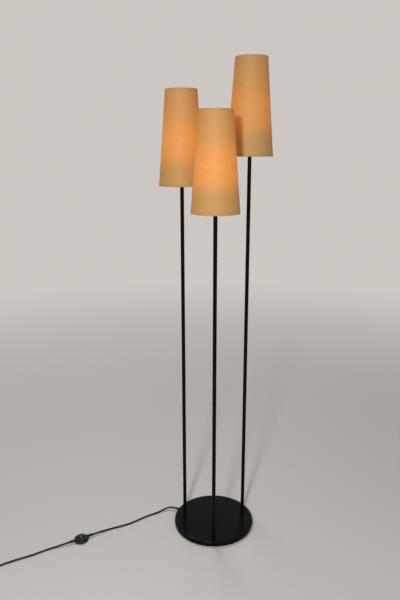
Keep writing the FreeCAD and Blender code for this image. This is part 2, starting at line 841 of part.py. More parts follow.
def make_inner_lead(side, height):
    """The thin twin lead from the terminal block, under the weight and up through the stem."""
    start_angle = LEAD_START_ANGLES.get(side, size(side + "_angle"))
    start = heading(start_angle) * LEAD_START + UP * LEAD_LEVEL
    foot = heading(size(side + "_angle")) * size(side + "_circle") + UP * LEAD_LEVEL
    out = (foot - start).normalize()
    slant = math.sin(math.pi / 4)
    arc_start = foot - out * LEAD_BEND
    arc_middle = arc_start + out * (LEAD_BEND * slant) + UP * (LEAD_BEND * (1 - slant))
    arc_end = foot + UP * LEAD_BEND
    top = Vector(foot.x, foot.y, size(height + " + stem_top + 9"))
    path = Part.Wire([
        Part.LineSegment(start, arc_start).toShape(),
        Part.Arc(arc_start, arc_middle, arc_end).toShape(),
        Part.LineSegment(arc_end, top).toShape(),
    ])
    return sweep(side + "_lead", path, start, out, size("lead_width"), 8)


# ---------------------------------------------------------------------------------------------------------
# The foot switch, drawn about its own centre with the lead running along its X axis
# ---------------------------------------------------------------------------------------------------------
SWITCH_PLACE = Vector(-473, -118, 0)
SWITCH_TURN = 212.0


def make_foot_switch():
    place = beside(SWITCH_PLACE, SWITCH_TURN)
    sole = turned_piece("switch_sole", [
        ("0", "0"),
        ("switch_radius - 2", "0"),
        ("switch_radius - 0.6", "1.2"),
        ("switch_radius - 0.6", "2.9"),
        ("0", "2.9"),
    ])
    sole.Placement = place
    dome = turned_piece("switch_dome", [
        ("button_radius + 0.3", "switch_height"),
        ("13", "switch_height"),
        ("18.5", "switch_height - 1.4"),
        ("23", "switch_height - 4.2"),
        ("25.3", "switch_height - 7"),
        ("switch_radius", "5"),
        ("switch_radius", "3"),
        ("switch_radius - 2", "3"),
        ("switch_radius - 2", "6.5"),
        ("21", "switch_height - 5.5"),
        ("14.5", "switch_height - 2"),
        ("button_radius + 0.3", "switch_height - 2"),
    ])
    necks = []
    for turn in (0, 180):
        way = Rotation(UP, turn).multVec(Vector(1, 0, 0))
        neck = primitive("Cone", "switch_neck", {"Radius1": "4.8", "Radius2": "cord_width / 2 + 0.8",
                                                 "Height": "neck_reach - neck_start"})
        neck.Placement = Placement(way * size("neck_start") + UP * size("neck_axis"), Rotation(UP, way))
        necks.append(neck)
    housing = fused("switch_housing", [dome] + necks)
    housing.Placement = place
    button = turned_piece("switch_button", [
        ("0", "switch_height - 4.5"),
        ("12.5", "switch_height - 4.5"),
        ("12.5", "switch_height - 2.2"),
        ("button_radius", "switch_height - 2.2"),
        ("button_radius", "switch_height + button_rise - 1.5"),
        ("button_radius - 1.2", "switch_height + button_rise - 0.6"),
        ("button_radius - 4", "switch_height + button_rise - 0.1"),
        ("0", "switch_height + button_rise"),
    ])
    button.Placement = place
    contacts = primitive("Box", "switch_contacts_blank", {
        "Length": "contact_length", "Width": "contact_width", "Height": "contact_height",
    }, Vector(-size("contact_length") / 2, -size("contact_width") / 2, 2.95))
    wells = []
    for across in (-11, 11):
        for along in (-4, 4):
            well = primitive("Cylinder", "contact_well", {"Radius": "1.8", "Height": "5"},
                             Vector(across, along, 5))
            wells.append(well)
    contact_block = cut_from("switch_contacts", contacts, wells)
    contact_block.Placement = place
    return [sole, housing, button, contact_block]


# ---------------------------------------------------------------------------------------------------------
# The free lead, its coil and its plug
# ---------------------------------------------------------------------------------------------------------
ON_FLOOR = 3.25
CORD_SIDES = 8

COIL_START = Vector(-776, -290.5, ON_FLOOR)
COIL_HEADING = 209.5
COIL_PITCH = 7.0
COIL_INNER = 26.0
COIL_TURNS = 6.25


def coil_radius(turn):
    """The distance of the turns from the coil's centre; turn counts from the innermost point."""
    return COIL_INNER + COIL_PITCH * math.hypot(turn, 0.06)


def coil_centre():
    """The coil lies to the right of the way in, after one straight cord's width."""
    way = heading(COIL_HEADING)
    right = Vector(way.y, -way.x, 0)
    return COIL_START + way * size("cord_width") + right * coil_radius(COIL_TURNS / 2)


def coil_point(turn):
    """A point of the winding: it spirals in on the floor and out again one cord's width higher."""
    angle = math.radians(COIL_HEADING + 90) - 2 * math.pi * (turn + COIL_TURNS / 2)
    climb = min(max(turn * 2 + 0.5, 0.0), 1.0)
    lift = COIL_PITCH * climb * climb * (3 - 2 * climb)
    spoke = Vector(math.cos(angle), math.sin(angle), 0)
    return coil_centre() + spoke * coil_radius(turn) + UP * lift


def coil_way(turn):
    step = 1e-4
    return (coil_point(turn + step) - coil_point(turn - step)).normalize()


def make_coil():
    quarter_turns = round(COIL_TURNS * 4)
    stations = [-COIL_TURNS / 2 + number / 4 for number in range(quarter_turns + 1)]
    first = coil_point(stations[0])
    last = coil_point(stations[-1])
    straight = size("cord_width")
    start = first - coil_way(stations[0]) * straight
    end = last + coil_way(stations[-1]) * straight
    edges = [Part.LineSegment(start, first).toShape()]
    for before, after in zip(stations, stations[1:]):
        edges += two_arcs(coil_point(before), coil_way(before), coil_point(after), coil_way(after))
    edges.append(Part.LineSegment(last, end).toShape())
    print("cord_coil: %.2f mm least gap between its turns" % least_gap(stations))
    coil = sweep("cord_coil", Part.Wire(edges), start, coil_way(stations[0]), size("cord_width"), CORD_SIDES)
    return coil, start, coil_way(stations[0]), end, coil_way(stations[-1])


def least_gap(stations):
    """The least gap between turns, on points along the winding half a turn or more apart."""
    per_turn = 48
    count = int(COIL_TURNS * per_turn)
    points = [coil_point(stations[0] + number / per_turn) for number in range(count + 1)]
    least = min((points[a] - points[b]).Length
                for a in range(count + 1) for b in range(a + per_turn // 2, count + 1))
    return least - size("cord_width")


EXIT_RUN = 13.5
NECK_RUN = 17.0
COIL_RUN = 27.0

SWITCH_SIDE_ROUTE = [
    (-172.5, 71.6, 9.3),
    (-186.0, 67.7, 7.0),
    (-198.5, 58.3, 4.6),
    (-219.0, 42.5, 3.25),
    (-246.0, 28.0, 3.25),
    (-275.0, 5.5, 3.25),
    (-303.0, -18.5, 3.25),
    (-338.0, -38.5, 3.25),
    (-370.0, -52.0, 3.25),
    (-401.0, -69.5, 4.3),
]

WALL_SIDE_ROUTE = [
    (-545.0, -157.5, 4.3),
    (-571.0, -170.0, 3.25),
    (-599.0, -188.0, 3.25),
    (-627.0, -207.5, 3.25),
    (-660.0, -223.5, 3.25),
    (-694.0, -243.0, 3.25),
    (-723.0, -262.5, 3.25),
]

# The end of the lead comes down from the coil: its turns to the right in degrees, its runs and its drops.
TAIL_TURNS = (0, 12, 12, 10)
TAIL_RUNS = (15, 22, 24, 22)
TAIL_DROPS = (0.0, 0.0, 1.6, 3.25, 3.25)


def make_free_cord():
    way = heading(SWITCH_TURN)
    axis = UP * size("neck_axis")
    near_neck = SWITCH_PLACE - way * size("neck_reach") + axis
    far_neck = SWITCH_PLACE + way * size("neck_reach") + axis
    width = size("cord_width")
    exit_end = cord_placement("base_radius + bushing_length").Base
    route = [exit_end, exit_end + heading(size("cord_angle")) * EXIT_RUN]
    route += [Vector(*point) for point in SWITCH_SIDE_ROUTE]
    route += [near_neck - way * NECK_RUN, near_neck]
    to_switch = tube("cord_to_switch", route, width, CORD_SIDES)

    coil, coil_start, coil_start_way, coil_end, coil_end_way = make_coil()
    route = [far_neck, far_neck + way * NECK_RUN]
    route += [Vector(*point) for point in WALL_SIDE_ROUTE]
    route += [coil_start - coil_start_way * COIL_RUN, coil_start]
    to_coil = tube("cord_to_coil", route, width, CORD_SIDES)

    tail = [coil_end]
    angle = math.degrees(math.atan2(coil_end_way.y, coil_end_way.x))
    for turn, run in zip(TAIL_TURNS, TAIL_RUNS):
        angle -= turn
        tail.append(tail[-1] + heading(angle) * run)
    tail = [Vector(point.x, point.y, coil_end.z - drop) for point, drop in zip(tail, TAIL_DROPS)]
    to_plug = tube("cord_to_plug", tail, width, CORD_SIDES)
    return [to_switch, coil, to_coil, to_plug], tail[-1], angle


def make_plug(place, angle):
    """A flat moulded two-pin plug, drawn lying flat with its pins along +X and its rear at the origin."""
    turn = beside(Vector(place.x, place.y, 0), angle)
    axis = size("plug_axis")

    body = new_body("plug_body")
    pad = body.newObject("PartDesign::Pad", "plug_pad")
    pad.Profile = new_sketch(body, "plug_outline", "XY_Plane")
    closed_outline(pad.Profile[0], [
        ("plug_rear", "-7"), ("30", "-8.5", "22", 1), ("46", "-13"), ("54", "-17"), ("plug_front", "-17"),
        ("plug_front", "17"), ("54", "17"), ("46", "13", "22", 1), ("30", "8.5"), ("plug_rear", "7"),
    ])
    pad.Length = size("plug_thickness")
    pad.setExpression("Length", bound("plug_thickness"))
    doc.recompute()
    body.Placement = turn
    relief = turned_piece("plug_relief", [
        ("0", "0"),
        ("cord_width / 2 + 0.7", "0"),
        ("5.6", "plug_rear - 0.1"),
        ("0", "plug_rear - 0.1"),
    ])
    lengthwise = Rotation(UP, Vector(1, 0, 0))
    relief.Placement = turn.multiply(Placement(UP * axis, lengthwise))
    pins = []
    for side in (-1, 1):
        radius = size("pin_radius")
        straight = size("pin_length") - 1
        pin = Part.makeCylinder(radius, straight).fuse(Part.makeCone(radius, radius - 0.9, 1, UP * straight))
        foot = Vector(size("plug_front") + 0.05, side * size("pin_spacing") / 2, axis)
        pin.Placement = turn.multiply(Placement(foot, lengthwise))
        pins.append(pin)
    return [body, relief, shaped("plug_pins", Part.makeCompound(pins))]


# ---------------------------------------------------------------------------------------------------------
# The whole lamp
# ---------------------------------------------------------------------------------------------------------
def make_light(side):
    height = side + "_height"
    pieces = [make_stem(side, height), make_top_nipple(side, height)]
    pieces += make_holder(side, height)
    pieces += make_bulb(side, height)
    pieces += make_shade(side, height)
    pieces.append(make_inner_lead(side, height))
    return pieces


def make_lamp():
    pieces = [make_base_cover(), make_base_weight()]
    pieces += make_base_underside()
    pieces += make_cord_entry()
    pieces += make_stem_fixings()
    for side in SIDES:
        pieces += make_light(side)
    pieces += make_foot_switch()
    cords, plug_place, plug_angle = make_free_cord()
    pieces += cords
    pieces += make_plug(plug_place, plug_angle)
    return pieces


def write(pieces):
    """Recompute, look for anything that failed, and write one file for each piece."""
    doc.recompute()
    for thing in doc.Objects:
        assert not {"Invalid", "Error"} & set(thing.State), thing.Label + " failed"
    for piece in pieces:
        assert not piece.Shape.isNull() and piece.Shape.isValid(), piece.Label + " has no valid shape"
    os.makedirs("parts", exist_ok=True)
    for piece in pieces:
        piece.Shape.exportStep("parts/%s.step" % piece.Label)
    print("%d pieces" % len(pieces))


write(make_lamp())
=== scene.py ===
"""A floor lamp with three tall tapered shades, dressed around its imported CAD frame.

Places are in metres in the frame's own axes: +Z up, the origin under the middle of the base, the lamp facing
-Y. Outlines are in millimetres. A light's own parts are drawn about its stem, with z = 0 at the bottom edge
of its shade.
"""

import functools
import math

import bmesh
import bpy
from mathutils import Matrix, Vector


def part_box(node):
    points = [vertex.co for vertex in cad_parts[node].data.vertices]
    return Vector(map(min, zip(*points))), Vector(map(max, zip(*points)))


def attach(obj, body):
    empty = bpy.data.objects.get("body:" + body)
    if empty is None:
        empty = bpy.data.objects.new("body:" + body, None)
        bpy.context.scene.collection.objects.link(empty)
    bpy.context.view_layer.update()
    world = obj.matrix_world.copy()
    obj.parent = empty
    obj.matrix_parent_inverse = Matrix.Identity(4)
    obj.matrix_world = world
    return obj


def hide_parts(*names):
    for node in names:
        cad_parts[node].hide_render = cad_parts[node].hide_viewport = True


bl_info = {
    "name": "Three-light floor lamp",
    "version": (1, 0, 0),
    "blender": (4, 5, 0),
    "location": "3D View > Sidebar > Floor lamp",
    "description": "Dresses the floor lamp's frame with its finished pieces",
    "category": "Object",
}

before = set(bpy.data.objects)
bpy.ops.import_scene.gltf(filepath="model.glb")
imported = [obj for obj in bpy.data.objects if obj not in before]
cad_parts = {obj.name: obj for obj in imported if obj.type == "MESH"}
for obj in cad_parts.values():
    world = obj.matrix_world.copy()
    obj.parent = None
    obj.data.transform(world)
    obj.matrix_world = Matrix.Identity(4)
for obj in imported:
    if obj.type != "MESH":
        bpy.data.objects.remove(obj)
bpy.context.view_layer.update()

MM = 0.001
TURN = 2 * math.pi
SIDES = ("left", "middle", "right")


# ---------------------------------------------------------------------------------------------------------
# Sizes that come from the frame
# ---------------------------------------------------------------------------------------------------------
def middle_of(node):
    low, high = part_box(node)
    return (low + high) / 2


def extent(node):
    low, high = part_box(node)
    return high - low


def light_place(side):
    """A light stands on its stem's axis, at the height of its shade's bottom edge."""
    centre = middle_of(side + "_stem")
    return Matrix.Translation((centre.x, centre.y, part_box(side + "_shade")[0].z))


# ---------------------------------------------------------------------------------------------------------
# Settings that a user would change
# ---------------------------------------------------------------------------------------------------------
def length(name, description, default):
    return bpy.props.FloatProperty(name=name, description=description, default=default, min=0.0,
                                   subtype="DISTANCE", unit="LENGTH", precision=4)


def share(name, description, default):
    return bpy.props.FloatProperty(name=name, description=description, default=default, min=0.0, max=1.0,
                                   subtype="FACTOR")


def colour(name, description, default):
    return bpy.props.FloatVectorProperty(name=name, description=description, default=default, size=3,
                                         min=0.0, max=1.0, subtype="COLOR")


class LampSizes(bpy.types.PropertyGroup):
    """The sizes of the pieces that show."""
    base_radius: length("Base radius", "Half the width of the round base", extent("base_cover").x / 2)
    base_top: length("Base height", "Height of the base's top above the floor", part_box("base_cover")[1].z)
    base_edge: length("Base edge", "Radius of the base's rounded top edge", 5 * MM)
    stem_radius: length("Stem radius", "Half the width of a stem", extent("left_stem").x / 2)
    shade_height: length("Shade height", "Height of a shade", extent("left_shade").z)
    shade_bottom: length("Shade bottom", "Radius of a shade's bottom edge", extent("left_shade").x / 2)
    shade_top: length("Shade top", "Radius of a shade's top edge", 51.5 * MM)
    shade_wall: length("Shade wall", "Thickness of the cloth and its backing", 0.8 * MM)
    hem_height: length("Hem", "Height of the turned hem at a shade's edges", 8 * MM)
    wire_radius: length("Frame wire", "Half the width of a shade frame's wire", 1.5 * MM)
    cord_width: length("Lead", "Width of the round mains lead", 6.5 * MM)
    switch_radius: length("Foot switch radius", "Half the width of the foot switch", 26 * MM)
    switch_top: length("Foot switch height", "Height of the foot switch's housing", 15 * MM)


class LampColours(bpy.types.PropertyGroup):
    """The colours of the finishes."""
    lacquer: colour("Lacquer", "Black lacquer of the base and the stems", (0.0034, 0.0029, 0.0025))
    cloth: colour("Cloth", "The shades' cloth by daylight", (0.385, 0.248, 0.080))
    glow_low: colour("Dim glow", "Light through the cloth far from the bulb", (0.145, 0.032, 0.004))
    glow_high: colour("Full glow", "Light through the cloth beside the bulb", (0.47, 0.098, 0.007))
    cord: colour("Lead", "Sheath of the mains lead", (0.0068, 0.0062, 0.0060))
    plastic: colour("Plastic", "Black plastic of the lampholders, switch and plug", (0.0075, 0.0070, 0.0068))
    floor: colour("Floor", "The pale floor", (0.68, 0.65, 0.615))
    glow_centre: share("Glow centre", "Height of the brightest cloth as a share of the shade", 0.46)


def sizes():
    return bpy.context.scene.lamp_sizes


def colours():
    return bpy.context.scene.lamp_colours


# ---------------------------------------------------------------------------------------------------------
# How a finish is written
# ---------------------------------------------------------------------------------------------------------
class Signal:
    """A number that varies over a surface. Sums of signals add their Math nodes to the material."""

    def __init__(self, finish, socket):
        self.finish = finish
        self.socket = socket

    def maths(self, operation, *values):
        return self.finish.node("ShaderNodeMath", {"operation": operation}, dict(enumerate(values)))

    def __add__(self, other):
        return self.maths("ADD", self, other)

    def __radd__(self, other):
        return self.maths("ADD", other, self)

    def __sub__(self, other):
        return self.maths("SUBTRACT", self, other)

    def __rsub__(self, other):
        return self.maths("SUBTRACT", other, self)

    def __mul__(self, other):
        return self.maths("MULTIPLY", self, other)

    def __rmul__(self, other):
        return self.maths("MULTIPLY", other, self)

    def sine(self):
        return self.maths("SINE", self)

    def between(self, low, high):
        """0 where the signal is low, 1 where it is high, and smooth on the way."""
        return self.finish.node("ShaderNodeMapRange", {"interpolation_type": "SMOOTHSTEP"},
                                {"Value": self, "From Min": low, "From Max": high})


class Finish:
    """A material around one Principled shader, whose constants are set on the shader's own sockets."""

    def __init__(self, name, **constants):
        self.material = bpy.data.materials.new(name)
        self.material.use_nodes = True
        self.tree = self.material.node_tree
        self.tree.nodes.clear()
        self.shader = self.tree.nodes.new("ShaderNodeBsdfPrincipled")
        self.output = self.tree.nodes.new("ShaderNodeOutputMaterial")
        self.tree.links.new(self.shader.outputs[0], self.output.inputs["Surface"])
        self.set(**constants)

    def set(self, **values):
        """Set or link the shader's sockets. base_color stands for the socket Base Color."""
        for name, value in values.items():
            self.feed(self.shader, name.replace("_", " ").title().replace("Ior", "IOR"), value)
        return self

    def feed(self, node, key, value):
        """Link a signal to a socket, or set the socket's own value."""
        socket = node.inputs[key]
        if isinstance(value, Signal):
            self.tree.links.new(value.socket, socket)
        elif hasattr(socket.default_value, "__len__") and len(socket.default_value) == 4 and len(value) == 3:
            socket.default_value = (*value, 1.0)
        else:
            socket.default_value = value

    def node(self, kind, settings=None, sockets=None, result=0):
        """Add a node: its settings first, then the values or links of its sockets."""
        made = self.tree.nodes.new(kind)
        for name, value in (settings or {}).items():
            if name == "stops":
                self.set_stops(made.color_ramp, value)
            else:
                setattr(made, name, value)
        for key, value in (sockets or {}).items():
            self.feed(made, key, value)
        return Signal(self, made.outputs[result])

    @staticmethod
    def set_stops(ramp, stops):
        while len(ramp.elements) < len(stops):
            ramp.elements.new(0.5)
        for element, (place, level) in zip(ramp.elements, stops):
            element.position = place
            element.color = (level, level, level, 1.0)

    def place(self, stretch=(1, 1, 1), source="Object"):
        """Object coordinates, or the piece's own UV map, stretched along each axis."""
        if source == "UV":
            start = self.node("ShaderNodeUVMap", {"uv_map": "cloth"})
        else:
            start = self.node("ShaderNodeTexCoord", result=source)
        return self.node("ShaderNodeVectorMath", {"operation": "MULTIPLY"}, {0: start, 1: stretch})

    def along_cloth(self, axis):
        """How far a point of the cloth lies around the shade (axis 0) or up it (axis 1), in metres."""
        return self.node("ShaderNodeSeparateXYZ", {}, {0: self.place(source="UV")}, result=axis)

    def noise(self, scale, detail=2.0, roughness=0.5, place=None):
        return self.node("ShaderNodeTexNoise", {}, {"Vector": place or self.place(), "Scale": scale,
                                                    "Detail": detail, "Roughness": roughness})

    def cloth_noise(self, around, up, detail, roughness):
        """Noise on the cloth, with so many blotches to the metre around it and up it."""
        return self.noise(1, detail, roughness, self.place((around, up, 1), "UV"))

    def ramp(self, signal, stops):
        return self.node("ShaderNodeValToRGB", {"stops": stops}, {"Fac": signal})

    def mix(self, factor, first, second, blend="MIX"):
        return self.node("ShaderNodeMix", {"data_type": "RGBA", "blend_type": blend},
                         {0: factor, 6: first, 7: second}, result=2)

    def height(self, signal, distance, strength=1.0):
        """Raise the surface by the signal; several heights are laid one on another."""
        below = self.shader.inputs["Normal"]
        values = {"Height": signal, "Distance": distance, "Strength": strength}
        if below.is_linked:
            values["Normal"] = Signal(self, below.links[0].from_socket)
        self.feed(self.shader, "Normal", self.node("ShaderNodeBump", {}, values))


def toned(tone, factor):
    """A colour made lighter or darker."""
    return tuple(factor * level for level in tone)


# ---------------------------------------------------------------------------------------------------------
# Finishes
# ---------------------------------------------------------------------------------------------------------
def make_lacquer():
    """Sprayed black lacquer: nearly flat, with a faint orange peel, hand marks and a little dust."""
    coat = Finish("lacquer", specular_ior_level=0.065)
    marks = coat.noise(6, 3, 0.5)
    peel = coat.noise(170, 1)
    dust = coat.noise(1900, 2, 0.7).between(0.70, 0.78) * marks.between(0.35, 0.7)
    black = colours().lacquer
    coat.height(peel, 0.03 * MM, 0.15)
    return coat.set(base_color=coat.mix(dust * 0.3, black, toned(black, 4.0)),
                    roughness=0.17 + marks * 0.06 + dust * 0.02)


def make_steel():
    """Zinc-plated steel: pale, faintly yellow and blue in patches."""
    plate = Finish("zinc_steel", metallic=1.0)
    patches = plate.noise(60, 4, 0.65)
    grain = plate.noise(1, 3, 0.6, plate.place((900, 900, 90)))
    plate.height(grain, 0.02 * MM, 0.4)
    return plate.set(base_color=plate.mix(patches, (0.60, 0.60, 0.58), (0.70, 0.70, 0.73)),
                     roughness=0.28 + grain * 0.2)


def make_iron():
    """Rough grey cast iron."""
    cast = Finish("cast_iron", metallic=0.6)
    grit = cast.noise(420, 5, 0.7)
    rust = cast.noise(30, 4, 0.6).between(0.55, 0.72)
    cast.height(grit, 0.35 * MM, 0.8)
    return cast.set(base_color=cast.mix(rust, (0.085, 0.085, 0.09), (0.13, 0.085, 0.055)),
                    roughness=0.62 + grit * 0.25)


def make_felt():
    """Black needle felt."""
    felt = Finish("felt", sheen_weight=0.5, sheen_roughness=0.6)
    fuzz = felt.noise(1500, 4, 0.8)
    felt.height(fuzz, 0.4 * MM, 1.0)
    return felt.set(base_color=felt.mix(fuzz, (0.012, 0.012, 0.012), (0.045, 0.044, 0.043)),
                    roughness=0.92 + fuzz * 0.06)


# The bulb's light on the cloth: the height above the glow's centre, as a share of the shade, and the level
# there. The lampholder cuts the light off below, and above it fades away slowly.
GLOW_STOPS = ((-0.31, 0.06), (-0.26, 0.17), (-0.21, 0.38), (-0.165, 0.66), (-0.11, 0.85), (0.0, 0.98),
              (0.10, 0.88), (0.16, 0.74), (0.25, 0.44), (0.35, 0.30))
GLOW_AT_BOTTOM = 0.0
GLOW_AT_TOP = 0.05


def glow_levels():
    """How strongly the cloth glows at each share of the shade's height."""
    centre = colours().glow_centre
    stops = [(centre + above, level) for above, level in GLOW_STOPS]
    return [(0.0, GLOW_AT_BOTTOM), *stops, (1.0, GLOW_AT_TOP)]


WEFT_PITCH = 0.62 * MM
WARP_PITCH = 0.70 * MM
# The cloth's colour where the bulb shines through: a painted glow tint, less blue and green than the plain
# cloth.
GLOW_TINT = (1.0, 0.95, 0.80)


def threads(way, pitch, wander):
    """Rows of threads: 1 on each thread's crest and 0 between two threads."""
    return (way * (TURN / pitch) + wander).sine() * 0.5 + 0.5


def make_cloth():
    """Slubby honey-coloured cloth on a translucent backing, with the bulb's light coming through.

    Where the bulb shines through, the cloth's colour is painted warmer: a painted glow tint.
    A shade's own glow attribute says how bright its bulb is.
    """
    cloth = Finish("shade_cloth", roughness=0.62, specular_ior_level=0.55, emission_strength=1.0)
    bulb = cloth.node("ShaderNodeAttribute", {"attribute_name": "glow"}, result="Fac")
    tint = colours()
    tall = sizes().shade_height
    hem = sizes().hem_height
    up = cloth.along_cloth(1)
    streaks = cloth.cloth_noise(15, 250, 3, 0.55)
    slubs = cloth.cloth_noise(34, 720, 2, 0.5).between(0.52, 0.74)
    clouds = cloth.cloth_noise(22, 14, 2, 0.5)
    weft = threads(up, WEFT_PITCH, streaks * 5.0)
    warp = threads(cloth.along_cloth(0), WARP_PITCH, clouds * 6.0)
    above_hem = up.between(0.9 * hem, 1.1 * hem)
    in_top_hem = up.between(tall - 1.1 * hem, tall - 0.9 * hem)
    doubled = 1 - above_hem * (1 - in_top_hem)
    level = cloth.ramp(up * (1 / tall) + (clouds - 0.5) * 0.035, glow_levels())
    thin = 0.77 + streaks * 0.58 - slubs * 0.30 - doubled * 0.22
    cloth.height(slubs * 0.9 + streaks * 0.5, 0.25 * MM, 0.5)
    cloth.height(weft + warp, 0.10 * MM, 0.35)
    plain = cloth.mix(streaks * 0.75 + slubs * 0.25, toned(tint.cloth, 0.92), toned(tint.cloth, 1.10))
    # A painted glow tint: the cloth's own colour made warmer where the bulb's light comes through.
    glow_tinted = cloth.mix(1.0, plain, GLOW_TINT, "MULTIPLY")
    glow = cloth.mix(level, tint.glow_low, tint.glow_high)
    return cloth.set(base_color=cloth.mix(level, plain, glow_tinted),
                     emission_color=cloth.mix(1.0, glow, thin * bulb, "MULTIPLY"))


def make_backing():
    """The shades' smooth white backing, lit by the bulb."""
    back = Finish("shade_backing", roughness=0.55, emission_strength=1.0)
    up = back.along_cloth(1)
    fibres = back.cloth_noise(15, 250, 3, 0.55)
    level = back.ramp(up * (1 / sizes().shade_height), glow_levels())
    glow = back.mix(level, (0.50, 0.27, 0.10), (0.98, 0.66, 0.33))
    return back.set(base_color=back.mix(fibres, (0.66, 0.60, 0.50), (0.76, 0.71, 0.61)),
                    emission_color=back.mix(1.0, glow, 0.85 + fibres * 0.3, "MULTIPLY"))


def make_frame_enamel():
    """Cream enamel on the shade frames' wires."""
    enamel = Finish("frame_enamel")
    wear = enamel.noise(160, 4, 0.6)
    enamel.height(wear, 0.05 * MM, 0.4)
    return enamel.set(base_color=enamel.mix(wear, (0.70, 0.66, 0.58), (0.80, 0.77, 0.70)),
                      roughness=0.32 + wear * 0.15)


def make_opal():
    """An opal bulb that is switched on."""
    opal = Finish("opal_glass", roughness=0.16, emission_strength=2.2)
    haze = opal.noise(70, 2)
    return opal.set(base_color=opal.mix(haze, (0.86, 0.82, 0.74), (0.92, 0.89, 0.82)),
                    emission_color=opal.mix(haze, (0.96, 0.56, 0.25), (1.0, 0.68, 0.36)))


def make_cap_metal():
    """Bright nickel of the bulbs' screw caps and the plug's pins."""
    cap = Finish("cap_metal", metallic=1.0)
    rub = cap.noise(1, 3, 0.6, cap.place((300, 300, 1600)))
    cap.height(rub, 0.02 * MM, 0.4)
    return cap.set(base_color=cap.mix(rub, (0.62, 0.60, 0.56), (0.78, 0.76, 0.72)),
                   roughness=0.22 + rub * 0.2)


def make_brass():
    """Dull drawn brass of the threaded nipples."""
    brass = Finish("brass", metallic=1.0)
    tarnish = brass.noise(120, 4, 0.6)
    return brass.set(base_color=brass.mix(tarnish, (0.60, 0.43, 0.17), (0.74, 0.56, 0.27)),
                     roughness=0.30 + tarnish * 0.2)


def make_cord_sheath():
    """Round black sheath of the mains lead, matt from handling in long patches."""
    sheath = Finish("cord_sheath", specular_ior_level=0.22)
    handled = sheath.noise(38, 4, 0.6)
    drawn = sheath.noise(900, 2)
    black = tuple(colours().cord)
    sheath.height(drawn, 0.04 * MM, 0.5)
    return sheath.set(base_color=sheath.mix(handled, black, toned(black, 2.0)),
                      roughness=0.34 + handled * 0.20)


# The plain background, and the distances from the lamp between which the floor passes into it.
BACKGROUND = (0.61, 0.575, 0.54)
FLOOR_FADE = (0.9, 4.2)


def make_floor_paint():
    """The pale floor, which passes into the plain background far from the lamp."""
    paint = Finish("floor_paint", specular_ior_level=0.25)
    soft = paint.noise(1.1, 3, 0.5)
    fine = paint.noise(75, 3, 0.6)
    tone = colours().floor
    paint.set(base_color=paint.mix(soft * 0.6 + fine * 0.4, toned(tone, 0.965), toned(tone, 1.03)),
              roughness=0.50 + fine * 0.10)
    paint.height(fine, 0.15 * MM, 0.3)
    distance = paint.node("ShaderNodeVectorMath", {"operation": "LENGTH"}, {0: paint.place()}, result=1)
    plain = paint.node("ShaderNodeEmission", {}, {"Color": BACKGROUND, "Strength": 1.0})
    seen = sum(paint.node("ShaderNodeLightPath", result="Is %s Ray" % kind)
               for kind in ("Camera", "Glossy", "Transmission"))
    blended = paint.node("ShaderNodeMixShader", {}, {0: distance.between(*FLOOR_FADE) * seen,
                                                     1: Signal(paint, paint.shader.outputs[0]), 2: plain})
    paint.tree.links.new(blended.socket, paint.output.inputs["Surface"])
    return paint


# What is moulded: its colour, or the name of a setting that holds it, how much of that colour it has, its
# roughness, the depth of its grain in millimetres and the strength of its mirror image.
MOULDED = {
    "holder_plastic": ("plastic", 1.0, 0.36, 0.05, 0.5),
    "switch_plastic": ("plastic", 0.4, 0.11, 0.003, 0.34),
    "button_plastic": ("plastic", 0.5, 0.12, 0.004, 0.30),
    "plug_plastic": ("plastic", 1.0, 0.42, 0.06, 0.5),
    "relief_rubber": ("cord", 1.0, 0.50, 0.05, 0.5),
    "white_plastic": ((0.62, 0.61, 0.57), 1.0, 0.38, 0.05, 0.5),
    "lead_sheath": ((0.50, 0.49, 0.46), 1.0, 0.40, 0.05, 0.5),
}


def make_moulded(name):
    """Moulded plastic or rubber: a fine spark-eroded grain and a few rubbed places."""
    tone, part, roughness, grain, mirror = MOULDED[name]
    if isinstance(tone, str):
        tone = getattr(colours(), tone)
    tone = toned(tone, part)
    plastic = Finish(name, specular_ior_level=mirror)
    pits = plastic.noise(2300, 2, 0.6)
    rubbed = plastic.noise(26, 4, 0.6).between(0.45, 0.75)
    plastic.height(pits, grain * MM, 0.5)
    return plastic.set(base_color=plastic.mix(rubbed, tone, toned(tone, 1.7)),
                       roughness=roughness + pits * 0.08 - rubbed * 0.06)


MAKERS = {
    "lacquer": make_lacquer, "steel": make_steel, "iron": make_iron, "felt": make_felt, "cloth": make_cloth,
    "backing": make_backing, "frame_enamel": make_frame_enamel, "opal": make_opal, "brass": make_brass,
    "cap_metal": make_cap_metal, "cord_sheath": make_cord_sheath, "floor_paint": make_floor_paint,
}


@functools.cache
def finish(name):
    """The material of a finish, made when it is first asked for."""
    made = make_moulded(name) if name in MOULDED else MAKERS[name]()
    return made.material


# ---------------------------------------------------------------------------------------------------------
# Shapes
# ---------------------------------------------------------------------------------------------------------
# Points closer together or to the axis than a hair are one, edges that turn by more degrees than SHARP show,
# and an arc takes up no more than this share of a side.
HAIR = 1e-7
SHARP = 40
LONGEST_ARC = 0.49


def in_metres(points):
    return [(max(point.x, 0.0) * MM, point.y * MM) for point in points]


def rounded(corners, steps=4):
    """Round the corners of an outline, given as (across, up) or (across, up, radius)."""
    points = []
    for number, corner in enumerate(corners):
        here = Vector(corner[:2])
        if len(corner) < 3:
            points.append(here)
            continue
        before = Vector(corners[number - 1][:2]) - here
        after = Vector(corners[(number + 1) % len(corners)][:2]) - here
        half = before.angle(after) / 2
        reach = min(corner[2] / math.tan(half), LONGEST_ARC * before.length, LONGEST_ARC * after.length)
        radius = reach * math.tan(half)
        before.normalize()
        after.normalize()
        centre = here + (before + after).normalized() * (radius / math.sin(half))
        first = here + before * reach - centre
        last = here + after * reach - centre
        sweep = first.angle_signed(last)
        for step in range(steps + 1):
            spoke = first.copy()
            spoke.rotate(Matrix.Rotation(-sweep * step / steps, 2))
            points.append(centre + spoke)
    return in_metres(points)


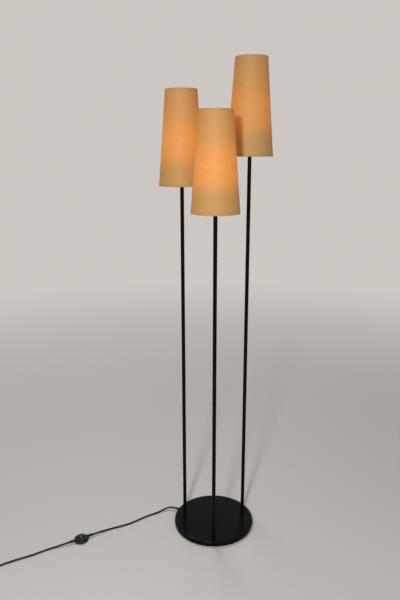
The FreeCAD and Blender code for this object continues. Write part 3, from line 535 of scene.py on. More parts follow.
def smooth_line(knots, per_span=6):
    """A smooth outline through (across, up) knots."""
    points = []
    padded = [knots[0], *knots, knots[-1]]
    for span in zip(padded, padded[1:], padded[2:], padded[3:]):
        before, start, end, after = (Vector(knot) for knot in span)
        for step in range(per_span):
            t = step / per_span
            points.append(0.5 * (2 * start + (end - before) * t
                                 + (2 * before - 5 * start + 4 * end - after) * t * t
                                 + (3 * start - before - 3 * end + after) * t ** 3))
    points.append(Vector(knots[-1]))
    return in_metres(points)


def polar(across, angle, up):
    return (across * math.cos(angle), across * math.sin(angle), up)


def neighbours(count):
    """Each place of a ring of points and the next one."""
    return [(n, (n + 1) % count) for n in range(count)]


def smoothed(name, shape, sharp):
    """The shape as a mesh, smooth apart from the edges that turn more sharply than an angle."""
    mesh = bpy.data.meshes.new(name)
    shape.to_mesh(mesh)
    shape.free()
    mesh.shade_smooth()
    mesh.set_sharp_from_angle(angle=math.radians(sharp))
    return mesh


def closed_up(name, shape, sharp=SHARP):
    """Close the shape's seams and turn its faces outwards."""
    bmesh.ops.remove_doubles(shape, verts=shape.verts, dist=HAIR)
    bmesh.ops.recalc_face_normals(shape, faces=shape.faces)
    return smoothed(name, shape, sharp)


def joined(name, meshes, sharp=SHARP):
    """Several closed meshes as one."""
    shape = bmesh.new()
    for mesh in meshes:
        shape.from_mesh(mesh)
    return smoothed(name, shape, sharp)


def turned_line(name, outline, segments):
    """Turn an outline about Z. One that starts on the axis also ends there, and any other makes a ring."""
    shape = bmesh.new()
    rows = []
    for across, up in outline:
        if across < HAIR:
            rows.append([shape.verts.new((0, 0, up))])
        else:
            rows.append([shape.verts.new(polar(across, TURN * n / segments, up)) for n in range(segments)])
    pairs = list(zip(rows, rows[1:]))
    if len(rows[0]) > 1:
        pairs.append((rows[-1], rows[0]))
    for low, high in pairs:
        for n, m in neighbours(segments):
            corners = (low[n % len(low)], low[m % len(low)], high[m % len(high)], high[n % len(high)])
            corners = list(dict.fromkeys(corners))
            if len(corners) > 2:
                shape.faces.new(corners)
    return closed_up(name, shape)


def turned(name, corners, steps, segments):
    """Turn an outline about Z, with so many steps to each rounded corner and so many segments around."""
    return turned_line(name, rounded(corners, steps), segments)


def lofted(name, rings, sharp, hollow=False):
    """A skin over rings of points. The first and the last ring are filled, or joined where it is hollow."""
    shape = bmesh.new()
    rows = [[shape.verts.new(point) for point in ring] for ring in rings]
    pairs = list(zip(rows, rows[1:]))
    if hollow:
        pairs.append((rows[-1], rows[0]))
    for below, above in pairs:
        for n, m in neighbours(len(below)):
            shape.faces.new((below[n], below[m], above[m], above[n]))
    if not hollow:
        for row in (rows[0], rows[-1]):
            shape.faces.new(row)
    return closed_up(name, shape, sharp)


# How finely a thread is divided: around it, and along it for each of its turns.
THREAD_SEGMENTS = 72
THREAD_ROWS = 10


def threaded(name, radius, depth, pitch, low, high, crest=0.5, bore=None):
    """A helical thread on a solid core, or on a sleeve where a bore's radius is given.

    The lower the crest value, the flatter the crests.
    """
    count = int((high - low) / pitch * THREAD_ROWS)
    rings = []
    for row in range(count + 1):
        up = low + (high - low) * row / count
        fade = min(1.0, (up - low) / pitch, (high - up) / pitch)
        ring = []
        for n in range(THREAD_SEGMENTS):
            wave = math.cos(TURN * (up / pitch - n / THREAD_SEGMENTS))
            across = radius - depth * (0.5 - 0.5 * math.copysign(abs(wave) ** crest, wave)) * fade
            ring.append(polar(across * MM, TURN * n / THREAD_SEGMENTS, up * MM))
        rings.append(ring)
    if bore:
        for up in (high, low):
            rings.append([polar(bore * MM, TURN * n / THREAD_SEGMENTS, up * MM)
                          for n in range(THREAD_SEGMENTS)])
    return lofted(name, rings, sharp=60, hollow=bore is not None)


def bar(name, low, high, soft):
    """A bar between two corners, its edges softened."""
    shape = bmesh.new()
    bmesh.ops.create_cube(shape, size=1.0)
    span = Vector(high) - Vector(low)
    middle = (Vector(high) + Vector(low)) / 2
    for vertex in shape.verts:
        vertex.co = Vector([(middle[axis] + vertex.co[axis] * span[axis]) * MM for axis in range(3)])
    bmesh.ops.bevel(shape, geom=shape.edges[:] + shape.verts[:], offset=soft * MM, segments=2, profile=0.6,
                    affect="EDGES")
    return closed_up(name, shape)


def round_curve(name, kind, points, radius, sides):
    """A round line along points, with its ends closed."""
    curve = bpy.data.curves.new(name, "CURVE")
    curve.dimensions = "3D"
    curve.bevel_depth = radius
    curve.bevel_resolution = sides
    curve.use_fill_caps = True
    spline = curve.splines.new(kind)
    spline.points.add(len(points) - 1)
    for knot, point in zip(spline.points, points):
        knot.co = (*point, 1)
    return curve


# ---------------------------------------------------------------------------------------------------------
# Pieces that repeat
# ---------------------------------------------------------------------------------------------------------
def plain_mesh(name, data, tree=None, values=None):
    """The plain mesh of a curve, or of a mesh with a Geometry Nodes tree on it."""
    holder = bpy.data.objects.new(name, data)
    bpy.context.collection.objects.link(holder)
    if tree:
        nodes = holder.modifiers.new("repeat", "NODES")
        nodes.node_group = tree
        for item in tree.interface.items_tree:
            if item.in_out == "INPUT" and item.name in values:
                nodes[item.identifier] = values[item.name]
    bpy.context.view_layer.update()
    evaluated = holder.evaluated_get(bpy.context.evaluated_depsgraph_get())
    mesh = bpy.data.meshes.new_from_object(evaluated)
    mesh.name = name
    bpy.data.objects.remove(holder)
    return mesh


def repeat_tree(name, measures, spread):
    """A tree that repeats the piece that it is given; spread() lays out the points and their turns."""
    tree = bpy.data.node_groups.new(name, "GeometryNodeTree")
    tree.interface.new_socket("Geometry", in_out="OUTPUT", socket_type="NodeSocketGeometry")
    inputs = [("Geometry", "Geometry"), ("Copies", "Int"), *[(measure, "Float") for measure in measures],
              ("Finish", "Material")]
    for label, kind in inputs:
        tree.interface.new_socket(label, in_out="INPUT", socket_type="NodeSocket" + kind)
    given, points, copies, real, painted, result = [tree.nodes.new(kind) for kind in (
        "NodeGroupInput", "GeometryNodeMeshLine", "GeometryNodeInstanceOnPoints",
        "GeometryNodeRealizeInstances", "GeometryNodeSetMaterial", "NodeGroupOutput")]
    tree.links.new(given.outputs["Copies"], points.inputs["Count"])
    tree.links.new(given.outputs["Geometry"], copies.inputs["Instance"])
    tree.links.new(points.outputs[0], copies.inputs["Points"])
    spread(tree, given, points, copies)
    tree.links.new(copies.outputs[0], real.inputs[0])
    tree.links.new(real.outputs[0], painted.inputs["Geometry"])
    tree.links.new(given.outputs["Finish"], painted.inputs["Material"])
    tree.links.new(painted.outputs[0], result.inputs[0])
    return tree


def per_copy(tree, step):
    """A Math node that gives each copy its number times a step, plus what its last socket is given."""
    index = tree.nodes.new("GeometryNodeInputIndex")
    sum_up = tree.nodes.new("ShaderNodeMath")
    sum_up.operation = "MULTIPLY_ADD"
    tree.links.new(index.outputs[0], sum_up.inputs[0])
    tree.links.new(step, sum_up.inputs[1])
    return sum_up


@functools.cache
def around_tree():
    """Copies at even turns about Z."""
    def spread(tree, given, points, copies):
        points.inputs["Offset"].default_value = (0, 0, 0)
        turn = per_copy(tree, given.outputs["Turn between"])
        tree.links.new(given.outputs["First turn"], turn.inputs[2])
        about = tree.nodes.new("ShaderNodeCombineXYZ")
        tree.links.new(turn.outputs[0], about.inputs["Z"])
        tree.links.new(about.outputs[0], copies.inputs["Rotation"])
    return repeat_tree("copies_around", ("Turn between", "First turn"), spread)


@functools.cache
def along_tree():
    """Copies in a row along Z, each wider or narrower than the one before."""
    def spread(tree, given, points, copies):
        step = tree.nodes.new("ShaderNodeCombineXYZ")
        tree.links.new(given.outputs["Pitch"], step.inputs["Z"])
        tree.links.new(step.outputs[0], points.inputs["Offset"])
        width = per_copy(tree, given.outputs["Growth"])
        width.inputs[2].default_value = 1.0
        scale = tree.nodes.new("ShaderNodeCombineXYZ")
        scale.inputs["Z"].default_value = 1.0
        for axis in ("X", "Y"):
            tree.links.new(width.outputs[0], scale.inputs[axis])
        tree.links.new(scale.outputs[0], copies.inputs["Scale"])
    return repeat_tree("copies_along", ("Pitch", "Growth"), spread)


def copies_around(mesh, copies, paint, first=0.0):
    values = {"Copies": copies, "Turn between": TURN / copies, "First turn": first, "Finish": finish(paint)}
    return plain_mesh("copies", mesh, around_tree(), values)


def copies_along(mesh, copies, pitch, growth, paint):
    values = {"Copies": copies, "Pitch": pitch * MM, "Growth": growth, "Finish": finish(paint)}
    return plain_mesh("copies", mesh, along_tree(), values)


def ribs(paint, inner, outer, foot, soft, segments, copies, first, pitch, growth):
    """The ribs of a strain relief along Z: foot is half a rib's width where it meets the sleeve."""
    rib = turned("rib", [(inner, -foot, 0.2), (outer, -0.5, soft), (outer, 0.5, soft), (inner, foot, 0.2)],
                 2, segments)
    row = copies_along(rib, copies, pitch, growth, paint)
    row.transform(Matrix.Translation((0, 0, first * MM)))
    return row


# ---------------------------------------------------------------------------------------------------------
# Placing the pieces
# ---------------------------------------------------------------------------------------------------------
def add_piece(name, mesh, paints, body="lamp", replaces=(), place=None, even=True):
    """Put a finished mesh in its place and let it move with its body.

    Its shading is evened out by the size of its faces, unless it is round all over.
    """
    if place is not None:
        mesh.transform(place)
    mesh.name = name
    mesh.materials.clear()
    for paint in paints:
        mesh.materials.append(finish(paint))
    piece = bpy.data.objects.new(name, mesh)
    bpy.context.collection.objects.link(piece)
    if even:
        weigh = piece.modifiers.new("even_normals", "WEIGHTED_NORMAL")
        weigh.keep_sharp = True
    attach(piece, body)
    if replaces:
        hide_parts(*replaces)
    return piece


def repaint(node, paint):
    """Give one of the frame's own nodes its finish."""
    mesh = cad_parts[node].data
    mesh.materials.clear()
    mesh.materials.append(finish(paint))


def lying(place, angle=0.0):
    """Turns a piece drawn along +Z so that it points along the floor at an angle from +X."""
    return Matrix.Translation(place) @ Matrix.Rotation(angle, 4, "Z") @ Matrix.Rotation(math.pi / 2, 4, "Y")


# ---------------------------------------------------------------------------------------------------------
# The mains lead: its route, as in the frame's source, in metres
# ---------------------------------------------------------------------------------------------------------
ON_FLOOR = 0.00325

# Where the lead leaves the base, and its straight run through the bushing.
ENTRY_ANGLE = math.radians(156)
ENTRY_HEIGHT = 0.0105
ENTRY_REACH = 0.160
ENTRY_RUN = 0.0135

# The foot switch: its place on the floor, and its two necks with the lead's straight run at each.
SWITCH_PLACE = Vector((-0.473, -0.118, 0))
SWITCH_ANGLE = math.radians(212)
NECK_REACH = 0.036
NECK_AXIS = 0.008
NECK_RUN = 0.017

SWITCH_SIDE_ROUTE = [
    (-0.1725, 0.0716, 0.0093),
    (-0.1860, 0.0677, 0.0070),
    (-0.1985, 0.0583, 0.0046),
    (-0.2190, 0.0425, ON_FLOOR),
    (-0.2460, 0.0280, ON_FLOOR),
    (-0.2750, 0.0055, ON_FLOOR),
    (-0.3030, -0.0185, ON_FLOOR),
    (-0.3380, -0.0385, ON_FLOOR),
    (-0.3700, -0.0520, ON_FLOOR),
    (-0.4010, -0.0695, 0.0043),
]

WALL_SIDE_ROUTE = [
    (-0.5450, -0.1575, 0.0043),
    (-0.5710, -0.1700, ON_FLOOR),
    (-0.5990, -0.1880, ON_FLOOR),
    (-0.6270, -0.2075, ON_FLOOR),
    (-0.6600, -0.2235, ON_FLOOR),
    (-0.6940, -0.2430, ON_FLOOR),
    (-0.7230, -0.2625, ON_FLOOR),
]

# The winding: its start and the way it sets out, the step from turn to turn, the radius and the ease of its
# turning point inside, its turns and the knots to each, and the straight runs at its two ends and before it.
COIL_START = Vector((-0.776, -0.2905, ON_FLOOR))
COIL_ANGLE = math.radians(209.5)
COIL_PITCH = 0.007
COIL_INNER = 0.026
COIL_EASE = 0.06
COIL_TURNS = 6.25
COIL_KNOTS = 16
COIL_RUN = 0.0065
COIL_LEAD_IN = 0.027

# The end: how far it turns at each joint, in degrees, the run after it, and its drop to the floor.
TAIL_TURNS = (0, 12, 12, 10)
TAIL_RUNS = (0.015, 0.022, 0.024, 0.022)
TAIL_DROPS = (0.0, 0.0, 0.0016, 0.00325, 0.00325)


def heading(angle):
    """The way along the floor at an angle from +X."""
    return Vector((math.cos(angle), math.sin(angle), 0))


def entry(reach):
    """The lead's axis where it leaves the base, at a distance from the base's middle."""
    return heading(ENTRY_ANGLE) * reach + Vector((0, 0, ENTRY_HEIGHT))


def neck(side):
    """The end of the switch's neck towards the lamp (-1) or towards the plug (1)."""
    return SWITCH_PLACE + heading(SWITCH_ANGLE) * (side * NECK_REACH) + Vector((0, 0, NECK_AXIS))


def neck_run(side):
    """The outer end of the lead's straight run at a neck."""
    return neck(side) + heading(SWITCH_ANGLE) * (side * NECK_RUN)


def coil_radius(turn):
    return COIL_INNER + COIL_PITCH * math.hypot(turn, COIL_EASE)


def coil_point(turn, swell=1.0):
    """A point of the winding: it spirals in on the floor and out again one cord's width higher.

    Turns are counted from the innermost point. The lead climbs over the half turn around it.
    """
    way = heading(COIL_ANGLE)
    centre = COIL_START + way * COIL_RUN + Vector((way.y, -way.x, 0)) * coil_radius(COIL_TURNS / 2)
    climb = min(max(turn * 2 + 0.5, 0.0), 1.0)
    angle = COIL_ANGLE + math.pi / 2 - TURN * (turn + COIL_TURNS / 2)
    lift = COIL_PITCH * climb * climb * (3 - 2 * climb)
    return centre + heading(angle) * (coil_radius(turn) * swell) + Vector((0, 0, lift))


def coil_way(turn, nearby=1e-4):
    return (coil_point(turn + nearby) - coil_point(turn - nearby)).normalized()


def coil_knots():
    """Knots of the winding, set out a little, because the spline runs inside its knots."""
    count = round(COIL_TURNS * COIL_KNOTS)
    swell = 1 / math.cos(math.pi / COIL_KNOTS)
    return [coil_point(-COIL_TURNS / 2 + number / COIL_KNOTS, swell) for number in range(1, count)]


def tail_points():
    """The end of the lead, from the coil down to the plug, and the direction in which it ends."""
    last = COIL_TURNS / 2
    point = coil_point(last) + coil_way(last) * COIL_RUN
    angle = math.atan2(coil_way(last).y, coil_way(last).x)
    points = [point]
    for turn, run in zip(TAIL_TURNS, TAIL_RUNS):
        angle -= math.radians(turn)
        points.append(points[-1] + heading(angle) * run)
    return [Vector((p.x, p.y, point.z - drop)) for p, drop in zip(points, TAIL_DROPS)], angle


def base_lead_knots():
    route = [Vector(point) for point in SWITCH_SIDE_ROUTE]
    return [entry(ENTRY_REACH), entry(ENTRY_REACH + ENTRY_RUN), *route, neck_run(-1), neck(-1)]


def wall_lead_knots():
    route = [Vector(point) for point in WALL_SIDE_ROUTE]
    first = -COIL_TURNS / 2
    way = coil_way(first)
    lead_in = coil_point(first) - way * COIL_RUN
    return [neck(1), neck_run(1), *route, lead_in - way * COIL_LEAD_IN, lead_in, *coil_knots(),
            *tail_points()[0]]


def cord_piece(name, knots):
    """A length of the mains lead, as a smooth round curve."""
    curve = round_curve(name, "NURBS", knots, sizes().cord_width / 2, 5)
    curve.resolution_u = 8
    curve.splines[0].order_u = 3
    curve.splines[0].use_endpoint_u = True
    curve.materials.append(finish("cord_sheath"))
    piece = bpy.data.objects.new(name, curve)
    bpy.context.collection.objects.link(piece)
    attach(piece, "lamp")
    return piece


# ---------------------------------------------------------------------------------------------------------
# The stage
# ---------------------------------------------------------------------------------------------------------
FLOOR_RADIUS = 30
ROOM_LIGHT = (1.0, 0.985, 0.965)
ROOM_STRENGTH = 0.16

# Tilt and turn in degrees, the lens in millimetres, the shift as a share of the picture's height.
CAMERA_PLACE = (-0.0049, -1.8912, 1.350)
CAMERA_TILT = 15.57
CAMERA_TURN = 1.12
CAMERA_LENS = 34.854
CAMERA_SHIFT = (-2.37 / 600, 10.41 / 600)

# Each light's place, the point that it looks at, its width and its power in watts.
LIGHTS = {
    "key_light": ((-0.48, -2.50, 1.74), (0.0, 0.0, 1.0), 0.30, 46.0),
    "fill_light": ((2.3, -2.3, 1.8), (0.0, 0.0, 0.9), 1.8, 6.0),
    "back_light": ((-0.9, 2.3, 4.0), (0.0, 0.0, 0.7), 1.6, 64.0),
}


class LAMP_OT_add_stage(bpy.types.Operator):
    """Add the floor, the lights, the background and the camera"""
    bl_idname = "floor_lamp.add_stage"
    bl_label = "Add stage"

    def execute(self, context):
        scene = context.scene
        scene.view_settings.view_transform = "Standard"
        bpy.ops.mesh.primitive_circle_add(vertices=96, radius=FLOOR_RADIUS, fill_type="NGON")
        floor = context.object
        floor.name = "floor"
        floor.data.materials.append(finish("floor_paint"))
        for name, values in LIGHTS.items():
            self.add_light(scene, name, *values)
        self.add_world(scene)
        self.add_camera(scene)
        return {"FINISHED"}

    @staticmethod
    def add_light(scene, name, place, target, width, power):
        light = bpy.data.lights.new(name, "AREA")
        light.shape = "DISK"
        light.size = width
        light.energy = power
        lamp = bpy.data.objects.new(name, light)
        scene.collection.objects.link(lamp)
        lamp.location = place
        lamp.rotation_euler = (Vector(target) - Vector(place)).to_track_quat("-Z", "Y").to_euler()

    @staticmethod
    def add_world(scene):
        """A plain surrounding light; what looks at it directly or in a reflection sees the background."""
        world = bpy.data.worlds.new("room")
        world.use_nodes = True
        tree = world.node_tree
        tree.nodes.clear()
        rays = tree.nodes.new("ShaderNodeLightPath")
        seen = rays.outputs["Is Camera Ray"]
        for kind in ("Glossy", "Transmission"):
            either = tree.nodes.new("ShaderNodeMath")
            either.operation = "MAXIMUM"
            tree.links.new(seen, either.inputs[0])
            tree.links.new(rays.outputs["Is %s Ray" % kind], either.inputs[1])
            seen = either.outputs[0]
        mix = tree.nodes.new("ShaderNodeMixShader")
        tree.links.new(seen, mix.inputs[0])
        for slot, tone, strength in ((1, ROOM_LIGHT, ROOM_STRENGTH), (2, BACKGROUND, 1.0)):
            light = tree.nodes.new("ShaderNodeBackground")
            light.inputs["Color"].default_value = (*tone, 1)
            light.inputs["Strength"].default_value = strength
            tree.links.new(light.outputs[0], mix.inputs[slot])
        output = tree.nodes.new("ShaderNodeOutputWorld")
        tree.links.new(mix.outputs[0], output.inputs["Surface"])
        scene.world = world

    @staticmethod
    def add_camera(scene):
        camera = bpy.data.cameras.new("camera")
        camera.lens = CAMERA_LENS
        camera.shift_x, camera.shift_y = CAMERA_SHIFT
        eye = bpy.data.objects.new("camera", camera)
        scene.collection.objects.link(eye)
        eye.location = CAMERA_PLACE
        eye.rotation_euler = (math.radians(90 - CAMERA_TILT), 0, math.radians(CAMERA_TURN))
        scene.camera = eye


# ---------------------------------------------------------------------------------------------------------
# The lead with its foot switch and plug
# ---------------------------------------------------------------------------------------------------------
BUTTON_RISE = 4.0


class LAMP_OT_add_foot_switch(bpy.types.Operator):
    """Add the foot switch: sole, glossy housing with its two reliefs, and push button"""
    bl_idname = "floor_lamp.add_foot_switch"
    bl_label = "Add foot switch"

    def execute(self, context):
        place = Matrix.Translation(SWITCH_PLACE)
        radius = sizes().switch_radius / MM
        top = sizes().switch_top / MM
        sole = turned("sole", [(0, 0), (radius - 2.2, 0, 0.8), (radius - 0.7, 1.4, 0.6), (radius - 0.7, 2.95),
                               (0, 2.95)], 3, 96)
        add_piece("switch_foot", sole, ["relief_rubber"], replaces=["switch_sole"],
                  place=place)
        dome = turned("dome", [
            (10.35, top - 0.2, 0.3), (12.4, top, 0.5), (13.2, top - 0.35, 0.3), (14.1, top - 0.05, 0.5),
            (18.5, top - 1.4, 9), (23.0, top - 4.2, 9), (radius - 0.3, top - 8.2, 5), (radius, 3.6, 0.5),
            (radius - 0.35, 3.05, 0.3), (radius - 2.2, 3.05), (radius - 2.4, 6.5, 1), (21, top - 5.5, 3),
            (14.5, top - 2, 1), (10.35, top - 2)], 5, 128)
        parts = [dome]
        for way in (SWITCH_ANGLE, SWITCH_ANGLE + math.pi):
            relief = turned("neck", [(0, 22.5), (5.3, 22.5), (4.9, 30, 0.5), (4.0, 43.6, 0.5), (3.35, 44.2),
                                     (3.2, 44.2), (0, 30)], 3, 48)
            rings = ribs("switch_plastic", inner=3.4, outer=5.15, foot=0.55, soft=0.35, segments=40,
                         copies=6, first=29.8, pitch=2.4, growth=-0.035)
            for part in (relief, rings):
                part.transform(lying((0, 0, NECK_AXIS), way))
                parts.append(part)
        add_piece("switch_dome", joined("housing", parts), ["switch_plastic"],
                  replaces=["switch_housing"], place=place)
        crown = top + BUTTON_RISE
        button = turned("button", [
            (0, top - 4.5), (12.5, top - 4.5, 0.3), (12.5, top - 2.2, 0.3), (10, top - 2.2),
            (10, crown - 1.5, 1.3), (8.9, crown - 0.35, 0.8), (8.0, crown - 0.62, 0.8),
            (4.0, crown - 0.15, 5), (0, crown)], 5, 96)
        add_piece("switch_push", button, ["button_plastic"], body="switch_button",
                  replaces=["switch_button"], place=place)
        return {"FINISHED"}


# The plug body's sections: the distance from the plug's start, the width and the thickness.
PLUG_SECTIONS = ((19.6, 11.6, 11.4), (20.4, 13.0, 12.4), (24, 14.6, 13.2), (30, 17.4, 13.5),
                 (38, 21.4, 13.6), (45, 26.0, 13.6), (51, 31.6, 13.6), (54.5, 34.0, 13.6),
                 (56.3, 33.8, 13.5), (57.0, 32.4, 12.4))
PLUG_SEGMENTS = 64
PLUG_SQUARENESS = 4.2
PIN_ASIDE = 9.3


def rounded_square(angle):
    """A point of a square with well-rounded corners, two units wide."""
    return [math.copysign(abs(value) ** (2 / PLUG_SQUARENESS), value)
            for value in (math.cos(angle), math.sin(angle))]


def plug_mesh():
    """The flat moulded plug body, lofted through rounded sections; its pins point along +X."""
    rings = []
    for along, wide, thick in PLUG_SECTIONS:
        ring = []
        for n in range(PLUG_SEGMENTS):
            across, up = rounded_square(TURN * n / PLUG_SEGMENTS)
            ring.append((along * MM, across * wide / 2 * MM, up * thick / 2 * MM))
        rings.append(ring)
    return lofted("plug", rings, sharp=50)


class LAMP_OT_add_lead(bpy.types.Operator):
    """Add the mains lead on the floor, its coil, its bushing and its plug"""
    bl_idname = "floor_lamp.add_lead"
    bl_label = "Add lead"

    def execute(self, context):
        near = cord_piece("lead_to_switch", base_lead_knots())
        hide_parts("cord_to_switch")
        far = cord_piece("lead_to_plug", wall_lead_knots())
        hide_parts("cord_to_coil", "cord_coil", "cord_to_plug")
        pieces = self.add_plug()
        self.add_bushing()
        return {"FINISHED"}

    @staticmethod
    def add_bushing():
        """The tapered bushing in the base's rim, with its rings."""
        half = sizes().cord_width / 2 / MM
        sleeve = turned("sleeve", [
            (half + 0.05, -5), (half + 2, -5, 0.4), (half + 2, -2.7, 0.2), (half + 1.4, -2.7),
            (half + 1.4, 0.1), (half + 3, 0.1, 0.4), (half + 3, 1.9, 0.9), (half + 1.6, 2.6, 0.5),
            (half + 0.9, 14.6, 0.5), (half + 0.05, 15)], 3, 64)
        rings = ribs("relief_rubber", inner=half + 0.6, outer=half + 2.1, foot=0.55, soft=0.4, segments=48,
                     copies=4, first=4.6, pitch=2.5, growth=-0.03)
        add_piece("entry_bushing", joined("bushing", [sleeve, rings]), ["relief_rubber"],
                  replaces=["cord_bushing"],
                  place=lying(entry(sizes().base_radius), ENTRY_ANGLE))

    @staticmethod
    def add_plug():
        points, angle = tail_points()
        place = Matrix.Translation(points[-1]) @ Matrix.Rotation(angle, 4, "Z")
        under = copies_along(bar("bar", (6.2, -5.0, -0.55), (7.05, 5.0, 0.55), 0.25), 5, 2.8, 0.0,
                             "plug_plastic")
        under.transform(lying((27.5 * MM, 0, 0)))
        over = under.copy()
        over.transform(Matrix.Rotation(math.pi, 4, "X"))
        moulding = joined("plug", [plug_mesh(), under, over], sharp=50)
        body = add_piece("plug_moulding", moulding, ["plug_plastic"],
                         replaces=["plug_body"], place=place)
        relief = turned("relief", [(0, 0.4), (3.3, 0), (4.1, 0.3, 0.3), (5.5, 19.8), (0, 19.8)], 3, 48)
        rings = ribs("relief_rubber", inner=3.2, outer=4.75, foot=0.6, soft=0.4, segments=40, copies=6,
                     first=3, pitch=2.7, growth=0.045)
        sleeve = add_piece("plug_sleeve", joined("sleeve", [relief, rings]), ["relief_rubber"],
                           replaces=["plug_relief"], place=place @ lying((0, 0, 0)))
        metal, covers = [], []
        for side in (-1, 1):
            pin = turned("pin", [(0, 66), (1.99, 66), (1.99, 75.6, 1.4), (0, 76.05)], 6, 40)
            cover = turned("cover", [(0, 56.8), (2.0, 56.8), (2.0, 66.2, 0.15), (0, 66.2)], 3, 40)
            for part, row in ((pin, metal), (cover, covers)):
                part.transform(lying((0, side * PIN_ASIDE * MM, 0)))
                row.append(part)
        contacts = add_piece("plug_contacts", joined("pins", metal), ["cap_metal"],
                             replaces=["plug_pins"], place=place)
        sleeves = add_piece("plug_pin_sleeves", joined("covers", covers), ["plug_plastic"],
                            place=place)
        return [body, sleeve, contacts, sleeves]


# ---------------------------------------------------------------------------------------------------------
# The base and the stems
# ---------------------------------------------------------------------------------------------------------
# The frame's own nodes that stay, hidden in the base, the switch and the stems, with their finishes.
KEPT = {
    "base_weight": "iron", "base_plate": "steel", "plate_screws": "steel", "clamp_screws": "steel",
    "cord_clamp": "holder_plastic", "terminal_block": "white_plastic", "foot_nipples": "brass",
    "foot_washers": "steel", "foot_nuts": "steel", "cord_in_base": "cord_sheath",
    "switch_contacts": "white_plastic",
}
KEPT_IN_EACH_LIGHT = {"_lead": "lead_sheath", "_top_nipple": "brass", "_holder_insert": "white_plastic"}

FELT_RADIUS = 138.9
FELT_DEPTH = 2
STEM_BORE = 5.05


class LAMP_OT_add_base(bpy.types.Operator):
    """Add the spun base cover and its felt, and finish what is inside"""
    bl_idname = "floor_lamp.add_base"
    bl_label = "Add base"

    def execute(self, context):
        radius = sizes().base_radius / MM
        top = sizes().base_top / MM
        edge = sizes().base_edge / MM
        cover = turned("cover", [
            (0, top - 1.5), (radius - edge, top - 1.5), (radius - 2.5, top - 2.5), (radius - 1.5, top - edge),
            (radius - 1.5, 1.0), (radius - 0.2, 1.0, 0.4), (radius, 1.6, 0.5), (radius, top, edge),
            (0, top)], 10, 256)
        add_piece("spun_cover", cover, ["lacquer"], replaces=["base_cover"])
        felt = turned("felt", [(0, 0), (FELT_RADIUS - 0.3, 0, 0.5), (FELT_RADIUS, FELT_DEPTH, 0.4),
                               (0, FELT_DEPTH)], 2, 128)
        add_piece("felt_disc", felt, ["felt"], replaces=["felt_pad"])
        for node, paint in KEPT.items():
            repaint(node, paint)
        for side in SIDES:
            for node, paint in KEPT_IN_EACH_LIGHT.items():
                repaint(side + node, paint)
        return {"FINISHED"}


class LAMP_OT_add_stems(bpy.types.Operator):
    """Add the three straight lacquered stems"""
    bl_idname = "floor_lamp.add_stems"
    bl_label = "Add stems"

    def execute(self, context):
        radius = sizes().stem_radius / MM
        for side in SIDES:
            centre = middle_of(side + "_stem")
            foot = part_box(side + "_stem")[0].z
            tall = extent(side + "_stem").z / MM
            stem = turned("stem", [(STEM_BORE, 0.02), (radius, 0.02, 0.35), (radius, tall, 0.5),
                                   (STEM_BORE, tall)], 3, 64)
            add_piece(side + "_tube", stem, ["lacquer"], replaces=[side + "_stem"],
                      place=Matrix.Translation((centre.x, centre.y, foot)))
        return {"FINISHED"}


# ---------------------------------------------------------------------------------------------------------
# The lights
# ---------------------------------------------------------------------------------------------------------
class LAMP_OT_add_holders(bpy.types.Operator):
    """Add the lampholders: domed cap, threaded skirt with its shoulder, and ring nut"""
    bl_idname = "floor_lamp.add_holders"
    bl_label = "Add lampholders"

    def execute(self, context):
        for side in SIDES:
            self.add_cap(side)
            self.add_skirt(side)
            self.add_nut(side)
        return {"FINISHED"}

    @staticmethod
    def add_part(side, name, meshes, node):
        name = side + name
        add_piece(name, joined(name, meshes), ["holder_plastic"],
                  replaces=[side + node], place=light_place(side))

    def add_cap(self, side):
        cap = turned("cap", [
            (5.05, 41, 0.2), (8.5, 41, 0.8), (8.6, 47.5, 1.2), (14.5, 51.5, 7), (18.6, 57.5, 6),
            (19.6, 68, 0.4), (17.6, 68), (16.4, 58, 3), (13, 53, 3), (9, 51), (5.05, 51)], 5, 96)
        grip = bar("rib", (18.9, -0.55, 59.5), (19.95, 0.55, 66.4), 0.4)
        self.add_part(side, "_domed_cap", [cap, copies_around(grip, 40, "holder_plastic")], "_holder_cap")

    def add_skirt(self, side):
        skirt = turned("skirt", [
            (17.6, 68.05), (20, 68.05, 0.3), (20, 75.6, 0.6), (24, 76.6, 0.5), (24, 79, 0.5), (18.9, 79),
            (18.9, 95.4), (19.2, 96, 0.4), (17.6, 96, 0.3)], 4, 96)
        inside = turned("inside", [(17.6, 78.5), (18.7, 78.5), (18.7, 95.6), (17.6, 95.6)], 2, 72)
        thread = threaded("thread", 19.95, 1.0, 2.5, 79.2, 95.2, bore=18.6)
        self.add_part(side, "_threaded_skirt", [skirt, inside, thread], "_holder_skirt")

    def add_nut(self, side):
        nut = turned("nut", [
            (20.05, 81.0, 0.3), (28, 81.0, 0.5), (28, 83.6, 0.8), (23.3, 84.6, 1.2), (22.5, 90.6, 0.8),
            (20.05, 90.6, 0.4)], 4, 96)
        grip = bar("grip", (22.0, -0.8, 85.2), (23.7, 0.8, 90.2), 0.55)
        self.add_part(side, "_ring_nut", [nut, copies_around(grip, 24, "holder_plastic")], "_holder_ring")


BULB_FOOT = 93.2
BULB_KNOTS = ((12.4, BULB_FOOT), (12.5, 97), (13.4, 103), (16.8, 111), (21.6, 119), (25.8, 127.5),
              (28.8, 136.5), (30, 145), (29, 154), (25.6, 162.4), (19.8, 169), (12, 173), (5, 174.4),
              (0, 174.6))


